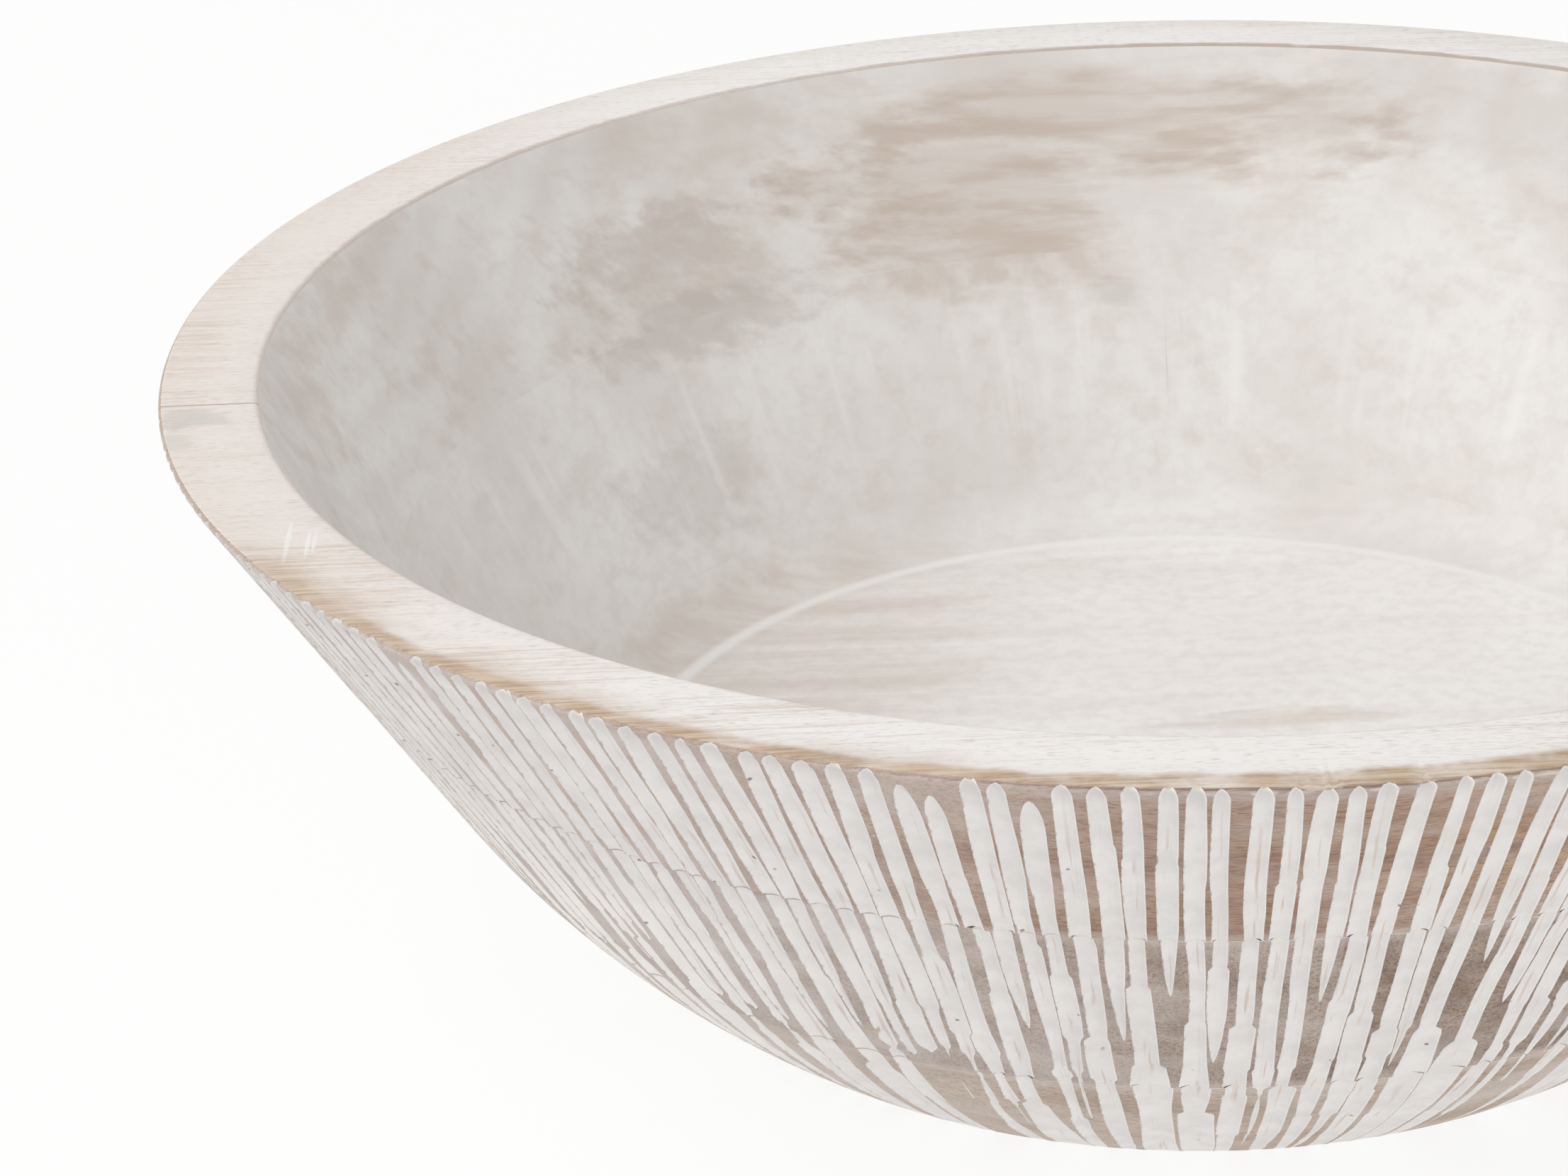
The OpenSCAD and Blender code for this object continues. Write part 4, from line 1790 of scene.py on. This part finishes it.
    def part(self, blank: Thing, board: Board) -> Thing:
        """Saws one board out of the blank at the edge joint, and dresses it.

        Args:
            blank: the carved blank.
            board: the board.

        Returns:
            The board's object.
        """
        pick(blank)
        bpy.ops.object.duplicate()
        piece = bpy.context.object
        piece.name = piece.data.name = f"{board.node}_carved"
        plane, normal = [0.0, 0.0, 0.0], [0.0, 0.0, 0.0]
        plane[self.joint_axis], normal[self.joint_axis] = self.joint_at * MM, 1.0
        enter("EDIT")
        bpy.ops.mesh.select_all(action="SELECT")
        bpy.ops.mesh.bisect(
            plane_co=plane, plane_no=normal,
            clear_inner=board.side is Side.HIGH, clear_outer=board.side is Side.LOW,
        )
        bpy.ops.mesh.edge_face_add()
        bpy.ops.mesh.select_all(action="SELECT")
        bpy.ops.mesh.normals_make_consistent(inside=False)
        enter("OBJECT")
        sawn = self.mark_sawn(piece, plane[self.joint_axis])
        self.lay_map(piece, board, sawn)
        bpy.ops.object.shade_smooth_by_angle(angle=self.smooth_angle)
        for index, (zone, finish) in enumerate(board.finishes.items()):
            piece.data.materials[index] = finish.material(f"{board.node}_{zone.value}")
        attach(piece, BODY)
        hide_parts(board.node)
        return piece

    def mark_sawn(self, piece: Thing, plane: float) -> Array:
        """Gives the faces in the edge joint the glued slot.

        Args:
            piece: the board's object.
            plane: the place of the joint, in metres.

        Returns:
            A flag for each face, set on those in the joint.
        """
        faces = piece.data.polygons
        centre, normal = (read(faces, name, 3)[:, self.joint_axis] for name in ("center", "normal"))
        sawn = (np.abs(centre - plane) < self.joint_near * MM) & (np.abs(normal) > self.joint_square)
        slots = read(faces, "material_index", kind=np.int32)
        slots[sawn] = self.slot_of_glue
        faces.foreach_set("material_index", slots)
        return sawn

    def lay_map(self, piece: Thing, board: Board, sawn: Array) -> None:
        """Lays the surface out flat for baking: round the axis one way, and round the section the other.

        Args:
            piece: the board's object.
            board: the board.
            sawn: a flag for each face, set on those in the edge joint, which get a strip of their own.
        """
        mesh = piece.data
        corner = read(mesh.loops, "vertex_index", kind=np.int32)
        size = read(mesh.polygons, "loop_total", kind=np.int32)
        x, y, z = read(mesh.vertices, "co", 3)[corner].T
        face = np.repeat(np.arange(len(size)), size)
        first = np.concatenate([[0], np.cumsum(size)[:-1]])
        middle = np.add.reduceat(np.stack([x, y], 1), first) / size[:, None]
        facing = math.pi / 2 * (board.side.value if self.joint_axis else 1 - board.side.value)
        main = turn_between(np.arctan2(middle[:, 1], middle[:, 0]), facing)[face]
        own = turn_between(np.arctan2(y, x) - facing, main)
        turn = main + np.where(np.hypot(x, y) < self.axis_near * MM, 0.0, own)
        share = read(mesh.attributes["girth"].data, "value")[corner]
        # A face across the seam of the section has its low corners moved up by one whole way round
        share = np.where(np.maximum.reduceat(share, first)[face] - share > 0.5, share + 1, share)
        wide = np.abs(turn[~sawn[face]]).max()
        across = np.where(self.joint_axis, x, y) / (self.form.rim_r * MM)
        up = z / (self.form.height * MM)
        spot = np.stack([
            np.where(sawn[face], blend(self.map_joint, up), blend(self.map_turn, turn / wide + 1)),
            np.where(sawn[face], blend(self.map_across, across), blend(self.map_girth, share)),
        ], 1)
        layer = mesh.uv_layers.new(name=BAKE_MAP)
        layer.data.foreach_set("uv", spot.astype(np.float32).ravel())


@dataclass
class UpperLayer(BoardLayer):
    """The rim layer: the tops of the flutes, the flat rim and the upper inside.

    The rim's finish starts at rim_start along the outside. The rings are closest from there to tops_end.
    """

    rim_start: float = 0.3
    edge_steps: int = 2
    rim_steps: int = 2
    lip_steps: int = 4
    lip_gap: float = 2.0
    tops_end: float = 4.4
    tops_step: float = 0.42
    tops_gap: float = 0.1

    def rows(self) -> list[Row]:
        """Returns the rings from the glue plane up the outside, over the rim and down the inside."""
        form, meridian = self.form, self.fluting.meridian
        carved = self.outside_rows(self.tops_end, meridian.at_height(form.upper_z))
        places = np.arange(self.tops_end - self.tops_step, self.rim_start + self.tops_gap, -self.tops_step)
        tops = [meridian.at(float(a), Zone.CARVED) for a in places]
        edge = [meridian.at(float(a), Zone.RIM) for a in np.linspace(self.rim_start, 0.0, self.edge_steps)]
        lip = form.lip_rows(self.lip_steps)
        across = np.linspace(edge[-1].radius, lip[0].radius, self.rim_steps + 2)[1:-1]
        flat = [Row(float(r), form.height, Zone.RIM) for r in across]
        inside = form.inner_rows(lip[-1].height - self.lip_gap, form.upper_z, self.inner_steps)
        inside[-1] = replace(inside[-1], zone=Zone.GLUED)
        lip[-1] = replace(lip[-1], zone=Zone.INSIDE)
        return carved + tops + edge + flat + lip + inside


@dataclass
class MiddleLayer(BoardLayer):
    """The middle layer, of which the outside shows end grain at the front."""

    def rows(self) -> list[Row]:
        """Returns the rings from the lower glue plane up the outside and down the inside."""
        form, meridian = self.form, self.fluting.meridian
        carved = self.outside_rows(meridian.at_height(form.upper_z), meridian.at_height(form.middle_z))
        inside = form.inner_rows(form.upper_z, form.middle_z, self.inner_steps)
        for rings in (carved, inside):
            rings[-1] = replace(rings[-1], zone=Zone.GLUED)
        return carved + inside


@dataclass
class LowerLayer(BoardLayer):
    """The lower layer: the run of the flutes to the foot, the cove and the floor.

    A small ridge runs along the floor's edge. Its form is the distance of its rings from the edge, and
    their share of its height.
    """

    closed: bool = False
    foot_rings: Span = (0.0, 30.0)
    foot_inset: float = 3.0
    cove_steps: int = 8
    ridge: float = 0.25
    ridge_form: tuple[Span, ...] = ((0.9, 0.75), (1.8, 1.0), (3.0, 0.6), (4.6, 0.0))
    floor_rings: tuple[float, ...] = (60.0, 20.0, 0.0)

    def rows(self) -> list[Row]:
        """Returns the rings from the middle of the foot round to the middle of the floor."""
        form, meridian = self.form, self.fluting.meridian
        foot = [Row(r, 0.0, Zone.FOOT) for r in (*self.foot_rings, form.foot_r - self.foot_inset)]
        carved = self.outside_rows(meridian.at_height(form.middle_z), self.fluting.end)
        carved[-1] = replace(carved[-1], zone=Zone.GLUED)
        cove = form.cove_rows(self.cove_steps)
        cove_top = form.floor_t + form.cove_r * (1 - math.sin(form.inner_lean))
        inside = form.inner_rows(form.middle_z, cove_top, self.inner_steps)[:-1]
        ridge = [Row(form.floor_r - inset, form.floor_t + self.ridge * share, Zone.INSIDE)
                 for inset, share in self.ridge_form]
        floor = [Row(r, form.floor_t, Zone.INSIDE) for r in self.floor_rings]
        return foot + carved + inside + cove + ridge + floor


@dataclass
class Studio:
    """The camera, the floor and the light.

    The camera stands at the eye. It looks down and leans by degrees.
    """

    eye: Point = (-70.6, -719.5, 385.1)
    look_down: float = 24.28
    roll: float = -2.15
    lens: float = 103.53
    sensor_w: float = 36.0
    floor_w: float = 6000.0
    floor_gap: float = 0.2
    floor_white: str = "#f4f3f1"
    floor_glow: float = 0.88
    floor_bounce: float = 0.85
    backdrop: str = "#ffffff"
    sky: float = 0.63
    key_place: Point = (-1150.0, -250.0, 1350.0)
    key_w: float = 1300.0
    key_power: float = 15.0
    fill_place: Point = (700.0, -1700.0, 500.0)
    fill_w: float = 1500.0
    fill_power: float = 7.5

    def build(self) -> None:
        """Sets up everything that isn't part of the bowl."""
        bpy.context.scene.view_settings.view_transform = "Standard"
        self.make_camera()
        self.make_floor()
        self.make_sky()
        self.make_lamp("key_light", self.key_place, self.key_w, self.key_power)
        self.make_lamp("fill_light", self.fill_place, self.fill_w, self.fill_power)

    def make_camera(self) -> None:
        """Stands the camera where the photograph was taken."""
        deselect_all()
        bpy.ops.object.camera_add()
        camera = bpy.context.object
        camera.name = "camera"
        camera.data.lens, camera.data.sensor_width = self.lens, self.sensor_w
        tilt = Matrix.Rotation(math.radians(90 - self.look_down), 4, "X")
        roll = Matrix.Rotation(math.radians(self.roll), 4, "Z")
        camera.matrix_world = Matrix.Translation(metres(self.eye)) @ tilt @ roll
        bpy.context.scene.camera = camera

    def make_floor(self) -> None:
        """Lays a plain white floor, which shows white to the camera and keeps some of the bowl's shadow."""
        deselect_all()
        bpy.ops.mesh.primitive_plane_add(size=self.floor_w * MM, location=(0, 0, -self.floor_gap * MM))
        floor = bpy.context.object
        floor.name = "floor"
        material = bpy.data.materials.new("floor")
        material.use_nodes = True
        material.node_tree.nodes.clear()
        bench = NodeBench(material.node_tree)
        plain = bench.add("BsdfDiffuse", {"Color": colour(self.floor_white)}).outputs[0]
        white = bench.add("Emission", {"Color": colour(self.backdrop), "Strength": 1.0}).outputs[0]
        seen = bench.rise(self.seen(bench), 0.0, 1.0, self.floor_bounce, self.floor_glow)
        lit = bench.add("MixShader", {0: seen, 1: plain, 2: white}).outputs[0]
        under = bench.add("NewGeometry").outputs["Backfacing"]
        clear = bench.add("BsdfTransparent").outputs[0]
        both = bench.add("MixShader", {0: under, 1: lit, 2: clear}).outputs[0]
        bench.add("OutputMaterial", {"Surface": both})
        floor.data.materials.append(material)

    @staticmethod
    def seen(bench: NodeBench) -> Socket:
        """Returns 1 for rays that show the background: straight, mirrored or through glass."""
        path = bench.add("LightPath").outputs
        mirrored = bench.most(path["Is Glossy Ray"], path["Is Transmission Ray"])
        return bench.most(path["Is Camera Ray"], mirrored)

    def make_sky(self) -> None:
        """Lights the bowl evenly from all round, in front of a white background."""
        world = bpy.data.worlds.new("studio")
        bpy.context.scene.world = world
        world.use_nodes = True
        world.node_tree.nodes.clear()
        bench = NodeBench(world.node_tree)
        white = colour(self.backdrop)
        light, shown = (
            bench.add("Background", {"Color": white, "Strength": strength}).outputs[0]
            for strength in (self.sky, 1.0)
        )
        both = bench.add("MixShader", {0: self.seen(bench), 1: light, 2: shown}).outputs[0]
        bench.add("OutputWorld", {"Surface": both})

    @staticmethod
    def make_lamp(name: str, place: Point, width: float, power: float) -> None:
        """Hangs a square lamp that faces the bowl.

        Args:
            name: the lamp's name.
            place: where it hangs.
            width: its width.
            power: its power in watts.
        """
        deselect_all()
        bpy.ops.object.light_add(type="AREA", location=metres(place))
        lamp = bpy.context.object
        lamp.name = name
        lamp.data.shape, lamp.data.size, lamp.data.energy = "SQUARE", width * MM, power
        aim = Vector((0.0, 0.0, CAD_BOX[1].z / 2)) - lamp.location
        lamp.rotation_euler = aim.to_track_quat("-Z", "Y").to_euler()


RIM_TAN = (
    Patch((-171, 5, 107), (9, 26, 6), 0.8),
    Patch((-167, 40, 107), (9, 18, 6), 0.6),
    Patch((-140, -92, 107), (18, 18, 6), 0.9),
    Patch((-112, -126, 107), (22, 12, 6), 0.9),
    Patch((-80, -148, 107), (26, 8, 6), 0.7),
)
RIM_EDGE = (
    Patch((-141, -95, 107), (22, 22, 8), 0.9),
    Patch((-105, -134, 107), (34, 20, 8), 0.8),
    Patch((-60, -160, 107), (22, 12, 8), 0.5),
)
RIM_STAIN = (
    Patch((-168, -26, 107), (8, 6, 4), 1, 0.7),
    Patch((-169, -35, 107), (4, 6, 4), 0.7, 0.6),
)
RIM_SCRATCHES = (
    Patch((-147.2, -79, 107), (0.5, 9, 3), 0.9, 0.1),
    Patch((-144, -80, 107), (0.4, 6, 3), 0.8, 0.1),
    Patch((-143, -79, 107), (0.4, 5, 3), 0.7, 0.1),
)
BACK_RUB = (
    Patch((-36, 141, 86), (46, 20, 13), 1),
    Patch((26, 148, 92), (44, 16, 10), 1),
    Patch((-30, 135, 76), (36, 16, 9), 0.9),
    Patch((-92, 112, 80), (34, 28, 13), 0.55),
    Patch((-14, 152, 95.5), (72, 20, 7.5), 1, 0.3),
    Patch((-88, 126, 101), (40, 22, 8), 0.35, 0.4),
    Patch((-152, 34, 102), (12, 50, 8), 0.4),
    Patch((-150, 4, 93), (8, 18, 10), 0.35),
)
BACK_SMUDGE = (
    Patch((-94, 110, 84), (24, 24, 8), 0.35, 0.6),
    Patch((-84, 108, 71), (34, 18, 6), 0.5, 0.6),
    Patch((66, 137, 98), (56, 34, 11), 0.3, 0.4),
)
MIDDLE_RUB = (
    Patch((-30, 132, 71), (40, 18, 8), 0.6),
    Patch((-88, 104, 71), (36, 26, 7), 0.4),
)
MIDDLE_SMUDGE = (
    Patch((-84, 106, 70), (34, 20, 6), 0.4, 0.6),
    Patch((-1, 131, 64), (7, 6, 3), 0.45),
    Patch((-88, 84, 44), (20, 18, 12), 0.35),
)
FLOOR_RUB = (
    Patch((18, 17, 23), (26, 5, 4), 0.55),
    Patch((-78, 60, 23), (58, 64, 8), 0.55, 0.16),
    Patch((-20, 84, 23), (60, 10, 5), 0.2),
    Patch((-20, -50, 23), (60, 16, 5), 0.3),
)
UPPER_WOODS = {
    "upper_front_board": Wood("#b59b87", "#97745e", "#664838", GrainWay.ALONG_X, (0.0, 60.0, -150.0)),
    "upper_back_board": Wood("#b49c88", "#987964", "#664a3b", GrainWay.ALONG_X, (310.0, -40.0, -170.0)),
}
MIDDLE_WOODS = {
    "middle_left_board": Wood("#b6a699", "#9b887b", "#6d594c", GrainWay.ALONG_Y, (90.0, 120.0, -20.0)),
    "middle_right_board": Wood("#ac9888", "#8a7363", "#524034", GrainWay.ALONG_Y, (500.0, -60.0, -90.0)),
}
LOWER_WOODS = {
    "lower_front_board": Wood("#c6b5a6", "#b19d8c", "#86705f", GrainWay.ALONG_X, (200.0, 30.0, -200.0)),
    "lower_back_board": Wood("#c4b3a4", "#af9b8a", "#86705f", GrainWay.ALONG_X, (700.0, 90.0, -60.0)),
}


@dataclass(frozen=True)
class Workshop:
    """Where the layers are put together: the form, the carving and the effects that they share."""

    form: BowlForm
    fluting: Fluting
    effects: Effects
    # The painted highlight on the floor's ridge: its place from the floor's edge and its width
    floor_highlight: Span = (-0.5, 2.4)

    def upper_finishes(self, side: Side, wood: Wood) -> dict[Zone, Finish]:
        """Returns the finishes of a board of the rim layer."""
        given = wood, self.effects
        front = side is Side.LOW
        return {
            Zone.CARVED: CarvedFinish(*given, gold_share=0.6, glue_lines=(self.form.upper_z,)),
            Zone.RIM: RimFinish(
                *given, seam_y=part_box("upper_front_board")[1].y / MM, tan_patches=RIM_TAN,
                edge_patches=RIM_EDGE, stain_patches=RIM_STAIN if front else (),
                scratches=RIM_SCRATCHES if front else (),
            ),
            Zone.INSIDE: InsideFinish(
                *given, rub_patches=BACK_RUB, smudge_patches=BACK_SMUDGE, rub_share=0.25,
            ),
            Zone.GLUED: GluedFinish(*given),
        }

    def middle_finishes(self, _: Side, wood: Wood) -> dict[Zone, Finish]:
        """Returns the finishes of a board of the middle layer."""
        given = wood, self.effects
        lines = (self.form.upper_z, self.form.middle_z)
        return {
            Zone.CARVED: CarvedFinish(*given, haze_share=0.35, dashes=END_DASHES, glue_lines=lines),
            Zone.INSIDE: InsideFinish(
                *given, rub_patches=MIDDLE_RUB, smudge_patches=MIDDLE_SMUDGE, ring_share=0.05, wipe_share=0.4,
            ),
            Zone.GLUED: GluedFinish(*given),
        }

    def lower_finishes(self, _: Side, wood: Wood) -> dict[Zone, Finish]:
        """Returns the finishes of a board of the lower layer."""
        given = wood, self.effects
        floor_r = self.form.floor_r
        inset, width = self.floor_highlight
        return {
            Zone.CARVED: CarvedFinish(*given, haze_share=0.4, glue_lines=(self.form.middle_z,)),
            Zone.INSIDE: InsideFinish(
                *given, rub_patches=FLOOR_RUB, ridge_highlights=((floor_r + inset, width),), floor_r=floor_r,
                ring_share=0.02, rub_share=0.12,
            ),
            Zone.FOOT: FootFinish(*given),
            Zone.GLUED: GluedFinish(*given),
        }

    def layers(self) -> list[BoardLayer]:
        """Describes the three layers of the bowl.

        Returns:
            The layers, from the rim down.
        """
        plans = (
            (UpperLayer, "upper", "upper_layer", UPPER_WOODS, self.upper_finishes, 1),
            (MiddleLayer, "middle", "middle_layer", MIDDLE_WOODS, self.middle_finishes, 0),
            (LowerLayer, "lower", "lower_layer", LOWER_WOODS, self.lower_finishes, 1),
        )
        made = []
        for number, (kind, name, slot, woods, finishes, joint_axis) in enumerate(plans):
            low, high = (
                Board(node, side, finishes(side, wood))
                for side, (node, wood) in zip(Side, woods.items())
            )
            made.append(kind(self.form, self.fluting, name, slot, (low, high), joint_axis, number))
        return made


def write_sizes() -> None:
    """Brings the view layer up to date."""
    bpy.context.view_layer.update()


def main() -> None:
    """Builds the studio and the bowl, layer by layer."""
    logging.basicConfig(level=logging.INFO, format="%(name)s: %(message)s")
    Studio().build()
    form = BowlForm.from_frame()
    effects = Effects()
    for layer in Workshop(form, Fluting(form), effects).layers():
        for piece in layer.build():
            log.info("%s: %d faces", piece.name, len(piece.data.polygons))
    write_sizes()


if __name__ == "__main__":
    main()
